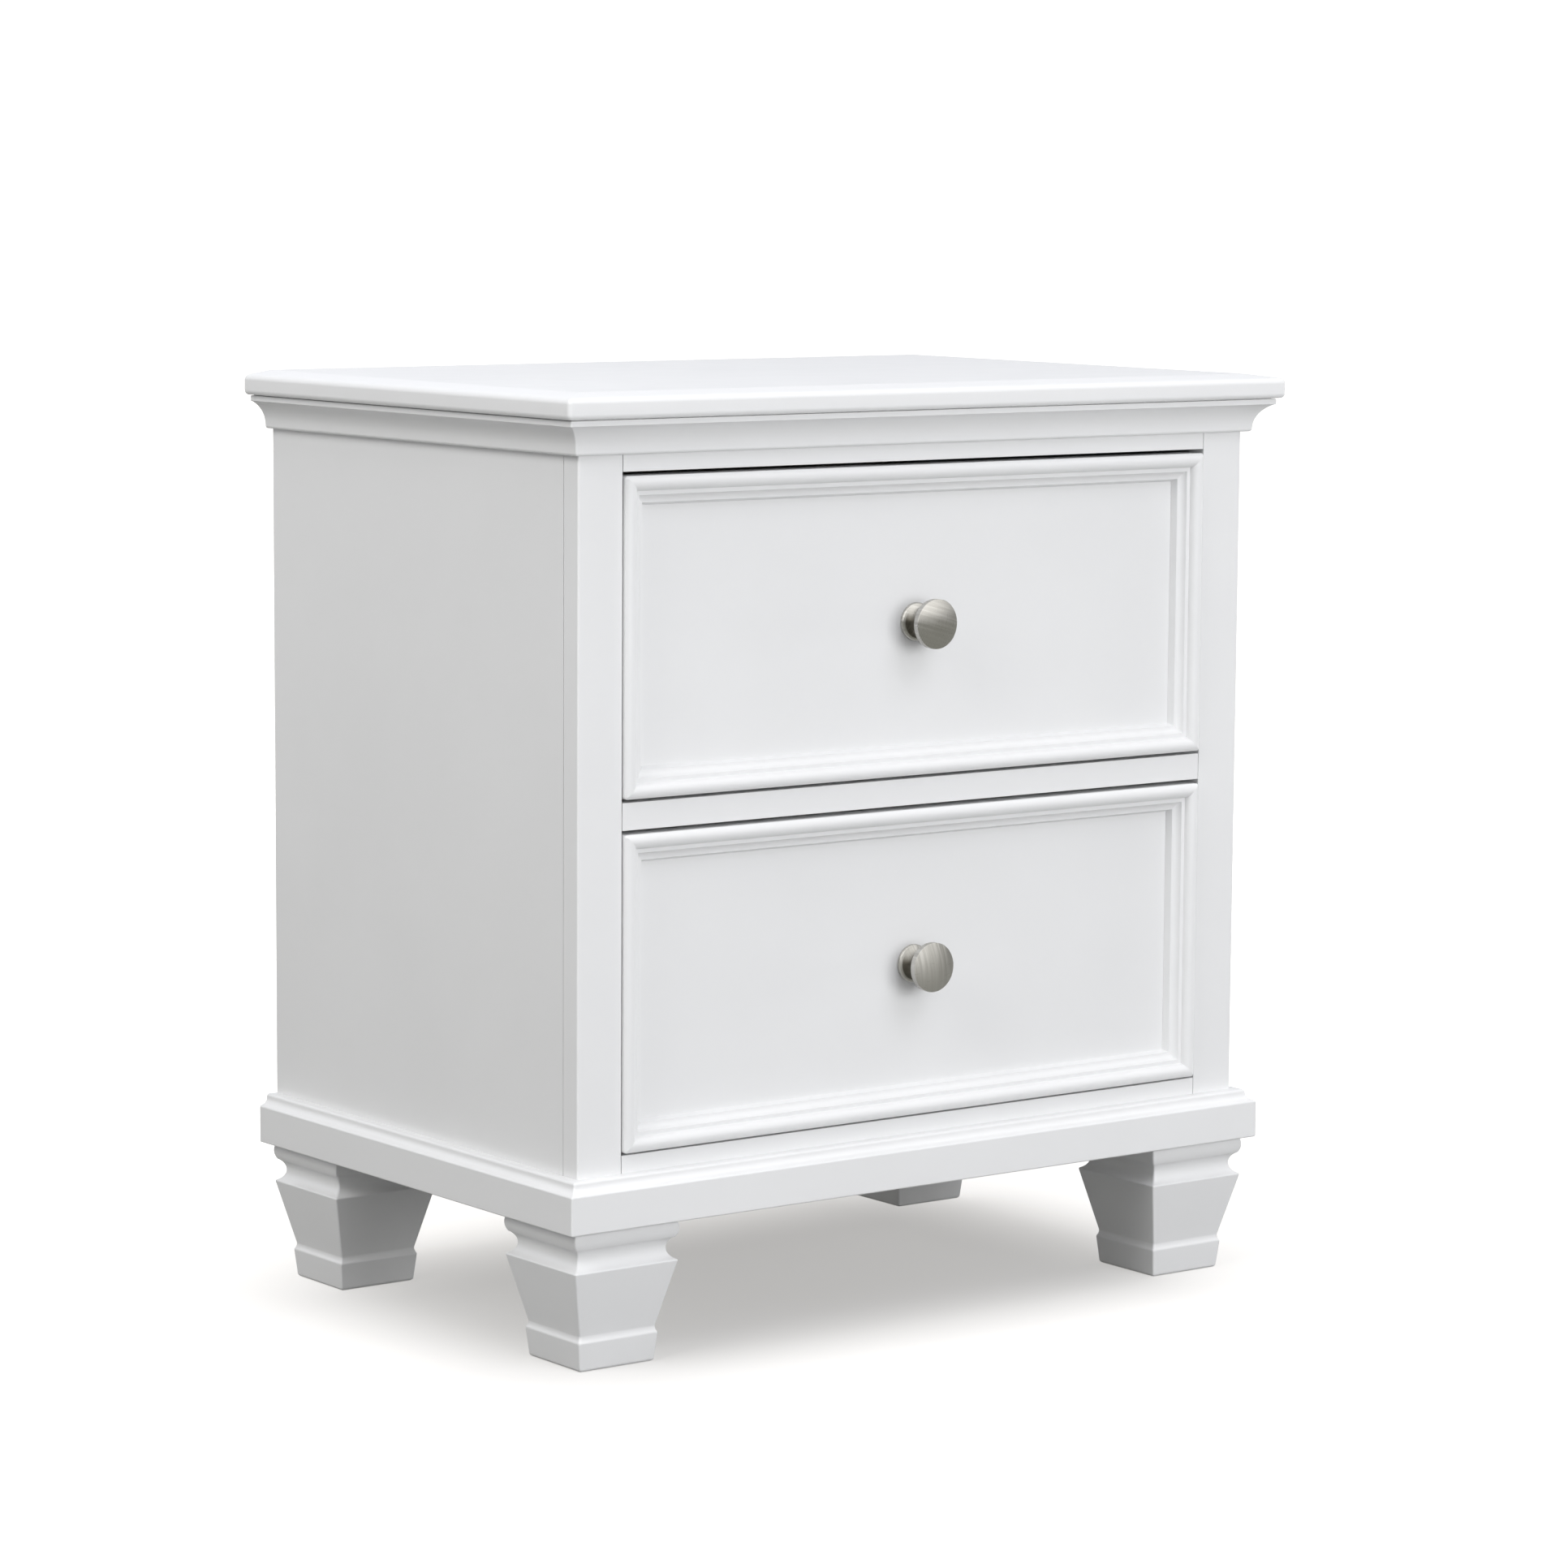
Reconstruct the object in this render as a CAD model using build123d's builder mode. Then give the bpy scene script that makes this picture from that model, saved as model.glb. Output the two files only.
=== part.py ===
from build123d import *
from math import asin, degrees
import os

# Two-drawer nightstand on block feet, painted wood, with metal knobs and steel drawer slides.
# Frame: millimetres, +Z up, +X to the right seen from the front, the front faces -Y.
# Origin: on the floor, under the centre of the whole piece.

os.makedirs("parts", exist_ok=True)

# ---------------------------------------------------------------- driving dimensions
# heights
foot_h = 111.7          # floor to underside of the base moulding
base_z1 = 151.6         # ledge on top of the base moulding
crown_z0 = 699.1        # underside of the crown moulding
top_z0 = 726.8          # underside of the top board
top_z1 = 746.4          # top surface
# plan
carcass_w = 659.0
carcass_front = -206.0  # front plane of the face frame
carcass_back = 232.0
top_overhang = 26.0     # front and both sides; flush at the back
side_t = 16.0
frame_t = 19.0          # thickness of the face frame
stile_w = 40.5
back_t = 5.0
rebate_w = 9.0          # rebate in the sides that takes the back panel
bottom_t = 12.0
bottom_z0 = 141.0
groove_d = 6.0
stretcher_t = 18.0
stretcher_w = 70.0
base_back_t = 19.0
# face frame rails, lower and upper edge
rail_bottom_z = (foot_h, 165.2)
rail_middle_z = (414.6, 435.7)
rail_top_z = (685.8, top_z0)
# drawer fronts, lower and upper edge, and half width
front_z = {"lower": (167.1, 411.4), "upper": (438.4, 682.6)}
front_hw = 286.75
mould_w = 23.2          # width of the moulding around a drawer front
mould_back = 19.0       # back of the drawer front behind the face plane
panel_recess = 11.0     # face of the flat panel behind the face plane
panel_lap = 14.0        # how far in from the edge the panel's own edge lies
# drawer box
box_t = 12.0
box_h = 200.0
box_len = 380.0
box_bottom_t = 6.0
box_z0 = {"lower": 179.5, "upper": 450.0}
slide_up = 60.0         # slide centre line above the bottom edge of the box
# drawer slides, three nested channels
slide_t = 12.7
slide_len = 350.0
slide_h = 45.0
sheet_t = 1.2
race = 0.4              # running clearance between the channels
packer_h = 60.0
# knobs
knob_z = {"lower": 286.2, "upper": 558.2}
bolt_r = 2.0
knob_out = 31.6         # how far a knob stands out from its panel
dome_edge = 18.6        # where the domed face starts, from the knob's axis
dome_rise = 3.3
# feet
foot_x = 288.2
foot_y_front = -165.5
foot_y_back = 176.9
hanger_r = 4.0
block_h = 20.0
block_w = 60.0

# ---------------------------------------------------------------- derived planes
half = carcass_w / 2                       # outside of the sides
inner = half - side_t                      # inside of the sides
frame_back = carcass_front + frame_t       # back of the face frame
open_hw = half - stile_w                   # half width of the drawer openings
back_in = carcass_back - back_t            # inside of the back panel
top_hw = half + top_overhang
top_front = carcass_front - top_overhang
box_hw = open_hw - slide_t                 # outside of the drawer box
box_in = box_hw - box_t
box_y0 = carcass_front + mould_back
box_y1 = box_y0 + box_len
panel_face = carcass_front + panel_recess
block_z1 = foot_h + block_h
slide_y0 = frame_back + 4.0
levels = ("lower", "upper")
dome_r = (dome_edge**2 + dome_rise**2) / (2 * dome_rise)
dome_angle = degrees(asin(dome_edge / dome_r))


def block(x0, x1, y0, y1, z0, z1, mode=Mode.ADD):
    """A rectangular piece between two corners, in the part being built."""
    with Locations(((x0 + x1) / 2, (y0 + y1) / 2, (z0 + z1) / 2)):
        Box(abs(x1 - x0), abs(y1 - y0), abs(z1 - z0), mode=mode)


def rod(p, q, r, mode=Mode.ADD):
    """A round bar from p to q along one axis, in the part being built."""
    d = [q[i] - p[i] for i in range(3)]
    turn = (0, 90, 0) if abs(d[0]) > 0 else (90, 0, 0) if abs(d[1]) > 0 else (0, 0, 0)
    with Locations(tuple((p[i] + q[i]) / 2 for i in range(3))):
        Cylinder(r, max(abs(c) for c in d), rotation=turn, mode=mode)


def screw(head, tip, r, head_r, head_t, mode=Mode.ADD):
    """A screw: a shank from head to tip and a flat round head standing off the surface."""
    rod(head, tip, r, mode)
    n = [(1 if head[i] > tip[i] else -1) if abs(head[i] - tip[i]) > 1e-9 else 0 for i in range(3)]
    rod(head, tuple(head[i] + n[i] * head_t for i in range(3)), head_r, mode)


def save(builder, name):
    builder.part.label = name
    export_step(builder.part, f"parts/{name}.step")


# ---------------------------------------------------------------- fastener positions
top_screw_xy = [(x, y) for y in (frame_back + stretcher_w / 2, back_in - stretcher_w / 2) for x in (-230, -80, 80, 230)]
top_screw_in = 12.0
back_screws = [(s * (inner + rebate_w / 2), z) for s in (-1, 1) for z in (160, 300, 440, 580, 700)]
back_screws += [(x, z) for z in (131.7, 718.0) for x in (-200, 0, 200)]
slide_screw_y = [slide_y0 + 30, slide_y0 + 160, slide_y0 + 315]
front_screw_xz = [(x, z) for x in (-180, 180) for z in (50, 150)]
feet = {
    "front_left": (-foot_x, foot_y_front),
    "front_right": (foot_x, foot_y_front),
    "back_left": (-foot_x, foot_y_back),
    "back_right": (foot_x, foot_y_back),
}

# ---------------------------------------------------------------- top board
# The front and both sides fall away in a wide shallow curve to a short upright edge; the back edge is square.
top_edge = [(24.0, 0.0), (12.0, 1.45), (4.0, 3.3), (1.0, 5.0), (0.0, 7.0)]   # inset from the edge, drop below the top
top_low_r = 2.5         # rounding of the lower edge
top_low_mid = top_low_r * (1 - 0.5**0.5)
top_corner = 4.6        # length of the front corners' rounding in plan, along each side
top_corner_in = 1.75    # and how far its middle stands in from each side


with BuildPart() as top_panel:
    with BuildSketch(Plane.XZ.offset(-carcass_back)) as across:
        with BuildLine():
            ThreePointArc((-top_hw + top_edge[0][0], top_z1), (-top_hw + top_edge[1][0], top_z1 - top_edge[1][1]), (-top_hw + top_edge[2][0], top_z1 - top_edge[2][1]))
            ThreePointArc((-top_hw + top_edge[2][0], top_z1 - top_edge[2][1]), (-top_hw + top_edge[3][0], top_z1 - top_edge[3][1]), (-top_hw, top_z1 - top_edge[4][1]))
            Line((-top_hw, top_z1 - top_edge[4][1]), (-top_hw, top_z0 + top_low_r))
            ThreePointArc((-top_hw, top_z0 + top_low_r), (-top_hw + top_low_mid, top_z0 + top_low_mid), (-top_hw + top_low_r, top_z0))
            Line((-top_hw + top_low_r, top_z0), (top_hw - top_low_r, top_z0))
            ThreePointArc((top_hw - top_low_r, top_z0), (top_hw - top_low_mid, top_z0 + top_low_mid), (top_hw, top_z0 + top_low_r))
            Line((top_hw, top_z0 + top_low_r), (top_hw, top_z1 - top_edge[4][1]))
            ThreePointArc((top_hw, top_z1 - top_edge[4][1]), (top_hw - top_edge[3][0], top_z1 - top_edge[3][1]), (top_hw - top_edge[2][0], top_z1 - top_edge[2][1]))
            ThreePointArc((top_hw - top_edge[2][0], top_z1 - top_edge[2][1]), (top_hw - top_edge[1][0], top_z1 - top_edge[1][1]), (top_hw - top_edge[0][0], top_z1))
            Line((top_hw - top_edge[0][0], top_z1), (-top_hw + top_edge[0][0], top_z1))
        make_face()
    extrude(amount=carcass_back - top_front)
    with BuildSketch(Plane.YZ.offset(-top_hw - 1)) as along:
        with BuildLine():
            ThreePointArc((top_front + top_edge[0][0], top_z1), (top_front + top_edge[1][0], top_z1 - top_edge[1][1]), (top_front + top_edge[2][0], top_z1 - top_edge[2][1]))
            ThreePointArc((top_front + top_edge[2][0], top_z1 - top_edge[2][1]), (top_front + top_edge[3][0], top_z1 - top_edge[3][1]), (top_front, top_z1 - top_edge[4][1]))
            Line((top_front, top_z1 - top_edge[4][1]), (top_front, top_z0 + top_low_r))
            ThreePointArc((top_front, top_z0 + top_low_r), (top_front + top_low_mid, top_z0 + top_low_mid), (top_front + top_low_r, top_z0))
            Polyline((top_front + top_low_r, top_z0), (carcass_back, top_z0), (carcass_back, top_z1), (top_front + top_edge[0][0], top_z1))
        make_face()
    extrude(amount=2 * top_hw + 2, mode=Mode.INTERSECT)
    # the two front corners are rounded in plan
    with BuildSketch(Plane.XY.offset(top_z0 - 1)) as plan:
        with BuildLine():
            Polyline((top_hw + 5, top_front + top_corner), (top_hw + 5, carcass_back + 5), (-top_hw - 5, carcass_back + 5), (-top_hw - 5, top_front + top_corner), (-top_hw, top_front + top_corner))
            ThreePointArc((-top_hw, top_front + top_corner), (-top_hw + top_corner_in, top_front + top_corner_in), (-top_hw + top_corner, top_front))
            Polyline((-top_hw + top_corner, top_front), (-top_hw + top_corner, top_front - 5), (top_hw - top_corner, top_front - 5), (top_hw - top_corner, top_front))
            ThreePointArc((top_hw - top_corner, top_front), (top_hw - top_corner_in, top_front + top_corner_in), (top_hw, top_front + top_corner))
            Line((top_hw, top_front + top_corner), (top_hw + 5, top_front + top_corner))
        make_face()
    extrude(amount=top_z1 - top_z0 + 2, mode=Mode.INTERSECT)
    for x, y in top_screw_xy:
        rod((x, y, top_z0), (x, y, top_z0 + top_screw_in), bolt_r, Mode.SUBTRACT)
save(top_panel, "top_panel")


# ---------------------------------------------------------------- mouldings around the carcass
def crown_face(plane):
    """Crown section: outward from the carcass face, height."""
    with BuildSketch(plane) as face:
        with BuildLine():
            Line((0, crown_z0), (4.2, crown_z0))
            ThreePointArc((4.2, crown_z0), (6.0, crown_z0 + 0.8), (6.6, crown_z0 + 2.7))
            Line((6.6, crown_z0 + 2.7), (6.8, crown_z0 + 4.6))
            ThreePointArc((6.8, crown_z0 + 4.6), (10.9, crown_z0 + 15.6), (18.9, crown_z0 + 22.2))
            Polyline((18.9, crown_z0 + 22.2), (20.3, crown_z0 + 22.7), (20.3, top_z0), (0, top_z0), (0, crown_z0))
        make_face()
    return face.sketch


def base_face(plane):
    """Base section: outward from the carcass face, height."""
    with BuildSketch(plane) as face:
        with BuildLine():
            Line((0, foot_h), (14.8, foot_h))
            ThreePointArc((14.8, foot_h), (15.7, foot_h + 0.4), (16.1, foot_h + 1.3))
            Line((16.1, foot_h + 1.3), (16.1, foot_h + 29.0))
            ThreePointArc((16.1, foot_h + 29.0), (15.85, foot_h + 30.1), (15.1, foot_h + 30.8))
            Line((15.1, foot_h + 30.8), (13.4, foot_h + 31.6))
            ThreePointArc((13.4, foot_h + 31.6), (10.7, foot_h + 33.4), (9.5, foot_h + 36.4))
            Line((9.5, foot_h + 36.4), (9.4, foot_h + 37.2))
            ThreePointArc((9.4, foot_h + 37.2), (8.9, foot_h + 39.0), (7.4, base_z1))
            Polyline((7.4, base_z1), (0, base_z1), (0, foot_h))
        make_face()
    return face.sketch


front_run = Plane(origin=(0, carcass_front, 0), x_dir=(0, -1, 0), z_dir=(-1, 0, 0))
left_run = Plane(origin=(-half, 0, 0), x_dir=(-1, 0, 0), z_dir=(0, 1, 0))
right_run = Plane(origin=(half, 0, 0), x_dir=(1, 0, 0), z_dir=(0, -1, 0))
mitre_left = Plane(origin=(-half, carcass_front, 0), z_dir=(1, -1, 0))
mitre_right = Plane(origin=(half, carcass_front, 0), z_dir=(-1, -1, 0))
reach = 40.0

for kind, section in (("crown", crown_face), ("base", base_face)):
    front_section, left_section, right_section = section(front_run), section(left_run), section(right_run)
    with BuildPart() as run_front:
        extrude(front_section, amount=half + reach, both=True)
        split(bisect_by=mitre_left, keep=Keep.TOP)
        split(bisect_by=mitre_right, keep=Keep.TOP)
    save(run_front, f"{kind}_front")
    with BuildPart() as run_left:
        extrude(left_section, amount=carcass_back)
        extrude(left_section, amount=carcass_front - reach)
        split(bisect_by=mitre_left, keep=Keep.BOTTOM)
    save(run_left, f"{kind}_left")
    with BuildPart() as run_right:
        extrude(right_section, amount=-carcass_back)
        extrude(right_section, amount=-carcass_front + reach)
        split(bisect_by=mitre_right, keep=Keep.BOTTOM)
    save(run_right, f"{kind}_right")

# ---------------------------------------------------------------- carcass
for side, s in (("left", -1), ("right", 1)):
    with BuildPart() as stile:
        block(s * half, s * open_hw, carcass_front, frame_back, foot_h, top_z0)
    save(stile, f"stile_{side}")

    with BuildPart() as side_panel:
        block(s * half, s * inner, frame_back, carcass_back, foot_h, top_z0)
        # rebate for the back panel, groove for the bottom panel
        block(s * inner, s * (inner + rebate_w), back_in, carcass_back, foot_h, top_z0, Mode.SUBTRACT)
        block(s * inner, s * (inner + groove_d), frame_back, back_in - base_back_t, bottom_z0, bottom_z0 + bottom_t, Mode.SUBTRACT)
        for x, z in back_screws:
            if x * s > inner:
                rod((x, back_in, z), (x, back_in - 15, z), 1.5, Mode.SUBTRACT)
    save(side_panel, f"side_panel_{side}")

for name, (z0, z1) in (("rail_top", rail_top_z), ("rail_middle", rail_middle_z), ("rail_bottom", rail_bottom_z)):
    with BuildPart() as rail:
        block(-open_hw, open_hw, carcass_front, frame_back, z0, z1)
    save(rail, name)

with BuildPart() as back_panel:
    block(-inner - rebate_w + 0.5, inner + rebate_w - 0.5, back_in, carcass_back, foot_h + 3, top_z0 - 2)
    for x, z in back_screws:
        rod((x, back_in, z), (x, carcass_back, z), 1.5, Mode.SUBTRACT)
        rod((x, carcass_back - 1.8, z), (x, carcass_back, z), 3.2, Mode.SUBTRACT)
save(back_panel, "back_panel")

with BuildPart() as bottom_panel:
    block(-inner - groove_d, inner + groove_d, frame_back, back_in - base_back_t, bottom_z0, bottom_z0 + bottom_t)
save(bottom_panel, "bottom_panel")

with BuildPart() as base_back:
    block(-inner, inner, back_in - base_back_t, back_in, foot_h, bottom_z0 + bottom_t)
    for x, z in back_screws:
        if abs(x) < inner and z < 200:
            rod((x, back_in, z), (x, back_in - 15, z), 1.5, Mode.SUBTRACT)
save(base_back, "base_back")

for name, y0 in (("top_stretcher_front", frame_back), ("top_stretcher_back", back_in - stretcher_w)):
    with BuildPart() as stretcher:
        block(-inner, inner, y0, y0 + stretcher_w, top_z0 - stretcher_t, top_z0)
        for x, y in top_screw_xy:
            if y0 < y < y0 + stretcher_w:
                rod((x, y, top_z0 - stretcher_t), (x, y, top_z0), bolt_r, Mode.SUBTRACT)
        if name.endswith("back"):
            for x, z in back_screws:
                if abs(x) < inner and z > 500:
                    rod((x, back_in, z), (x, back_in - 15, z), 1.5, Mode.SUBTRACT)
    save(stretcher, name)

# ---------------------------------------------------------------- feet
for name, (fx, fy) in feet.items():
    with BuildPart() as foot:
        for plane in (Plane(origin=(fx, fy, 0), x_dir=(1, 0, 0), z_dir=(0, -1, 0)), Plane(origin=(fx, fy, 0), x_dir=(0, 1, 0), z_dir=(1, 0, 0))):
            with BuildSketch(plane) as silhouette:
                with BuildLine():
                    Line((0, 0), (32.4, 0))
                    ThreePointArc((32.4, 0), (34.2, 0.9), (34.9, 2.6))                 # eased floor edge
                    Line((34.9, 2.6), (36.9, 21.8))                                    # lower block
                    ThreePointArc((36.9, 21.8), (36.8, 23.0), (36.3, 24.0))
                    ThreePointArc((36.3, 24.0), (35.55, 26.0), (35.4, 28.4))           # ankle
                    Line((35.4, 28.4), (47.8, 79.0))                                   # taper
                    ThreePointArc((47.8, 79.0), (47.8, 79.9), (47.2, 80.6))
                    ThreePointArc((47.2, 80.6), (41.2, 89.2), (45.4, 97.4))            # cove
                    Line((45.4, 97.4), (46.6, 98.0))
                    ThreePointArc((46.6, 98.0), (48.8, 104.6), (47.0, foot_h))         # bead
                    Polyline((47.0, foot_h), (0, foot_h), (0, 0))
                make_face()
                mirror(about=Plane.YZ)
            extrude(amount=60, both=True, mode=Mode.ADD if plane.z_dir.Y else Mode.INTERSECT)
        rod((fx, fy, foot_h - 45), (fx, fy, foot_h), hanger_r, Mode.SUBTRACT)
    save(foot, f"foot_{name}")

with BuildPart() as corner_blocks:
    for fx, fy in feet.values():
        s = 1 if fx > 0 else -1
        y0 = frame_back if fy < 0 else back_in - base_back_t - block_w
        block(s * inner, s * (inner - block_w), y0, y0 + block_w, foot_h, block_z1)
        rod((fx, fy, foot_h), (fx, fy, block_z1), hanger_r, Mode.SUBTRACT)
save(corner_blocks, "corner_blocks")

with BuildPart() as foot_bolts:
    for fx, fy in feet.values():
        rod((fx, fy, foot_h - 45), (fx, fy, bottom_z0 - 0.6), hanger_r)
        rod((fx, fy, block_z1), (fx, fy, block_z1 + 1.6), 10.0)
        with BuildSketch(Plane.XY.offset(block_z1 + 1.6)) as nut:
            with Locations((fx, fy)):
                RegularPolygon(6.5, 6, major_radius=False)
        extrude(amount=6.4)
save(foot_bolts, "foot_bolts")

# ---------------------------------------------------------------- slides: packers, cabinet rails and their screws
with BuildPart() as slide_packers:
    for level in levels:
        zc = box_z0[level] + slide_up
        for s in (-1, 1):
            block(s * open_hw, s * inner, frame_back, back_in - base_back_t, zc - packer_h / 2, zc + packer_h / 2)
            for y in slide_screw_y:
                rod((s * open_hw, y, zc), (s * (open_hw + 16), y, zc), 1.75, Mode.SUBTRACT)
save(slide_packers, "slide_packers")

rail_reach = 9.6                                   # depth of the cabinet channel
mid_x0, mid_x1 = 3.2, 11.0                         # middle channel, off the packer
mid_h = slide_h - 2 * sheet_t - 2 * race
inn_x0 = 5.0                                       # drawer channel starts here and ends at slide_t
inn_h = mid_h - 2 * sheet_t - 2 * race

with BuildPart() as slide_cabinet_rails:
    for level in levels:
        zc = box_z0[level] + slide_up
        for s in (-1, 1):
            with BuildSketch(Plane(origin=(s * open_hw, slide_y0, zc), x_dir=(-s, 0, 0), z_dir=(0, s, 0))) as channel:
                with BuildLine():
                    Polyline((0, -slide_h / 2), (rail_reach, -slide_h / 2), (rail_reach, -slide_h / 2 + sheet_t), (sheet_t, -slide_h / 2 + sheet_t),
                             (sheet_t, slide_h / 2 - sheet_t), (rail_reach, slide_h / 2 - sheet_t), (rail_reach, slide_h / 2), (0, slide_h / 2), close=True)
                make_face()
            extrude(amount=s * slide_len)
            for y in slide_screw_y:
                rod((s * open_hw, y, zc), (s * (open_hw - sheet_t), y, zc), 1.75, Mode.SUBTRACT)
save(slide_cabinet_rails, "slide_cabinet_rails")

with BuildPart() as slide_screws:
    for level in levels:
        zc = box_z0[level] + slide_up
        for s in (-1, 1):
            for y in slide_screw_y:
                screw((s * (open_hw - sheet_t), y, zc), (s * (open_hw + 16), y, zc), 1.75, 3.5, 1.4)
save(slide_screws, "slide_screws")

with BuildPart() as top_screws:
    for x, y in top_screw_xy:
        screw((x, y, top_z0 - stretcher_t), (x, y, top_z0 + top_screw_in), bolt_r, 4.0, 2.2)
save(top_screws, "top_screws")

with BuildPart() as back_panel_screws:
    for x, z in back_screws:
        rod((x, carcass_back - 1.8, z), (x, back_in - 15, z), 1.5)
        rod((x, carcass_back - 1.8, z), (x, carcass_back, z), 3.2)
save(back_panel_screws, "back_panel_screws")

# ---------------------------------------------------------------- drawers
for level in levels:
    z0, z1 = front_z[level]
    b0 = box_z0[level]
    b1 = b0 + box_h
    zc = b0 + slide_up
    zk = knob_z[level]

    # moulding around the front: a bead cut square at the outer edge, a flat fillet, a cove, and a steep slope down to the panel
    sides = {
        "top": (Plane(origin=(0, carcass_front, z1), x_dir=(0, 0, -1), z_dir=(-1, 0, 0)), ((-front_hw, z1, 1, 1), (front_hw, z1, -1, 1))),
        "bottom": (Plane(origin=(0, carcass_front, z0), x_dir=(0, 0, 1), z_dir=(1, 0, 0)), ((-front_hw, z0, 1, -1), (front_hw, z0, -1, -1))),
        "left": (Plane(origin=(-front_hw, carcass_front, (z0 + z1) / 2), x_dir=(1, 0, 0), z_dir=(0, 0, -1)), ((-front_hw, z1, -1, -1), (-front_hw, z0, -1, 1))),
        "right": (Plane(origin=(front_hw, carcass_front, (z0 + z1) / 2), x_dir=(-1, 0, 0), z_dir=(0, 0, 1)), ((front_hw, z1, 1, -1), (front_hw, z0, 1, 1))),
    }
    for side, (plane, mitres) in sides.items():
        with BuildPart() as strip:
            with BuildSketch(plane) as section:
                with BuildLine():
                    Line((0, -mould_back), (0, 2.4))
                    ThreePointArc((0, 2.4), (5.2, 5.2), (11.5, -0.6))
                    Line((11.5, -0.6), (14.8, -0.6))
                    ThreePointArc((14.8, -0.6), (17.0, -4.0), (20.9, -5.3))
                    Polyline((20.9, -5.3), (mould_w, -panel_recess), (panel_lap, -panel_recess), (panel_lap, -mould_back), (0, -mould_back))
                make_face()
            extrude(amount=front_hw if side in ("top", "bottom") else (z1 - z0) / 2, both=True)
            for mx, mz, nx, nz in mitres:
                split(bisect_by=Plane(origin=(mx, carcass_front, mz), z_dir=(nx, 0, nz)), keep=Keep.TOP)
        save(strip, f"{level}_front_moulding_{side}")

    with BuildPart() as front_panel:
        block(-front_hw + panel_lap, front_hw - panel_lap, panel_face, box_y0, z0 + panel_lap, z1 - panel_lap)
        rod((0, panel_face, zk), (0, box_y0, zk), bolt_r, Mode.SUBTRACT)
        for x, dz in front_screw_xz:
            rod((x, box_y0 - 5, b0 + dz), (x, box_y0, b0 + dz), bolt_r, Mode.SUBTRACT)
    save(front_panel, f"{level}_front_panel")

    with BuildPart() as box_front:
        block(-box_in, box_in, box_y0, box_y0 + box_t, b0, b1)
        block(-box_in, box_in, box_y0 + groove_d, box_y0 + box_t, b0 + 6, b0 + 6 + box_bottom_t, Mode.SUBTRACT)
        rod((0, box_y0, zk), (0, box_y0 + box_t, zk), bolt_r, Mode.SUBTRACT)
        for x, dz in front_screw_xz:
            rod((x, box_y0, b0 + dz), (x, box_y0 + box_t, b0 + dz), bolt_r, Mode.SUBTRACT)
    save(box_front, f"{level}_box_front")

    for side, s in (("left", -1), ("right", 1)):
        with BuildPart() as box_side:
            block(s * box_hw, s * box_in, box_y0, box_y1, b0, b1)
            block(s * box_in, s * (box_in + groove_d), box_y0 + groove_d, box_y1, b0 + 6, b0 + 6 + box_bottom_t, Mode.SUBTRACT)
            for y in slide_screw_y:
                rod((s * box_hw, y, zc), (s * (box_hw - 10), y, zc), 1.75, Mode.SUBTRACT)
        save(box_side, f"{level}_box_{side}")

    with BuildPart() as box_back:
        block(-box_in, box_in, box_y1 - box_t, box_y1, b0 + 6 + box_bottom_t, b1)
    save(box_back, f"{level}_box_back")

    with BuildPart() as box_bottom:
        block(-box_in - groove_d, box_in + groove_d, box_y0 + groove_d, box_y1, b0 + 6, b0 + 6 + box_bottom_t)
    save(box_bottom, f"{level}_box_bottom")

    # slide members that leave the cabinet
    with BuildPart() as slide_middles:
        for s in (-1, 1):
            with BuildSketch(Plane(origin=(s * open_hw, slide_y0, zc), x_dir=(-s, 0, 0), z_dir=(0, s, 0))) as channel:
                with BuildLine():
                    Polyline((mid_x0, -mid_h / 2), (mid_x1, -mid_h / 2), (mid_x1, -mid_h / 2 + sheet_t), (mid_x0 + sheet_t, -mid_h / 2 + sheet_t),
                             (mid_x0 + sheet_t, mid_h / 2 - sheet_t), (mid_x1, mid_h / 2 - sheet_t), (mid_x1, mid_h / 2), (mid_x0, mid_h / 2), close=True)
                make_face()
            extrude(amount=s * slide_len)
    save(slide_middles, f"{level}_slide_middles")

    with BuildPart() as slide_drawer_rails:
        for s in (-1, 1):
            with BuildSketch(Plane(origin=(s * open_hw, slide_y0, zc), x_dir=(-s, 0, 0), z_dir=(0, s, 0))) as channel:
                with BuildLine():
                    Polyline((slide_t, -inn_h / 2), (inn_x0, -inn_h / 2), (inn_x0, -inn_h / 2 + sheet_t), (slide_t - sheet_t, -inn_h / 2 + sheet_t),
                             (slide_t - sheet_t, inn_h / 2 - sheet_t), (inn_x0, inn_h / 2 - sheet_t), (inn_x0, inn_h / 2), (slide_t, inn_h / 2), close=True)
                make_face()
            extrude(amount=s * slide_len)
            for y in slide_screw_y:
                rod((s * box_hw, y, zc), (s * (box_hw + sheet_t), y, zc), 1.75, Mode.SUBTRACT)
    save(slide_drawer_rails, f"{level}_slide_drawer_rails")

    with BuildPart() as drawer_screws:
        for x, dz in front_screw_xz:
            screw((x, box_y0 + box_t, b0 + dz), (x, box_y0 - 5, b0 + dz), bolt_r, 4.0, 2.2)
        for s in (-1, 1):
            for y in slide_screw_y:
                screw((s * (box_hw + sheet_t), y, zc), (s * (box_hw - 10), y, zc), 1.75, 3.5, 1.4)
    save(drawer_screws, f"{level}_drawer_screws")

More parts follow.
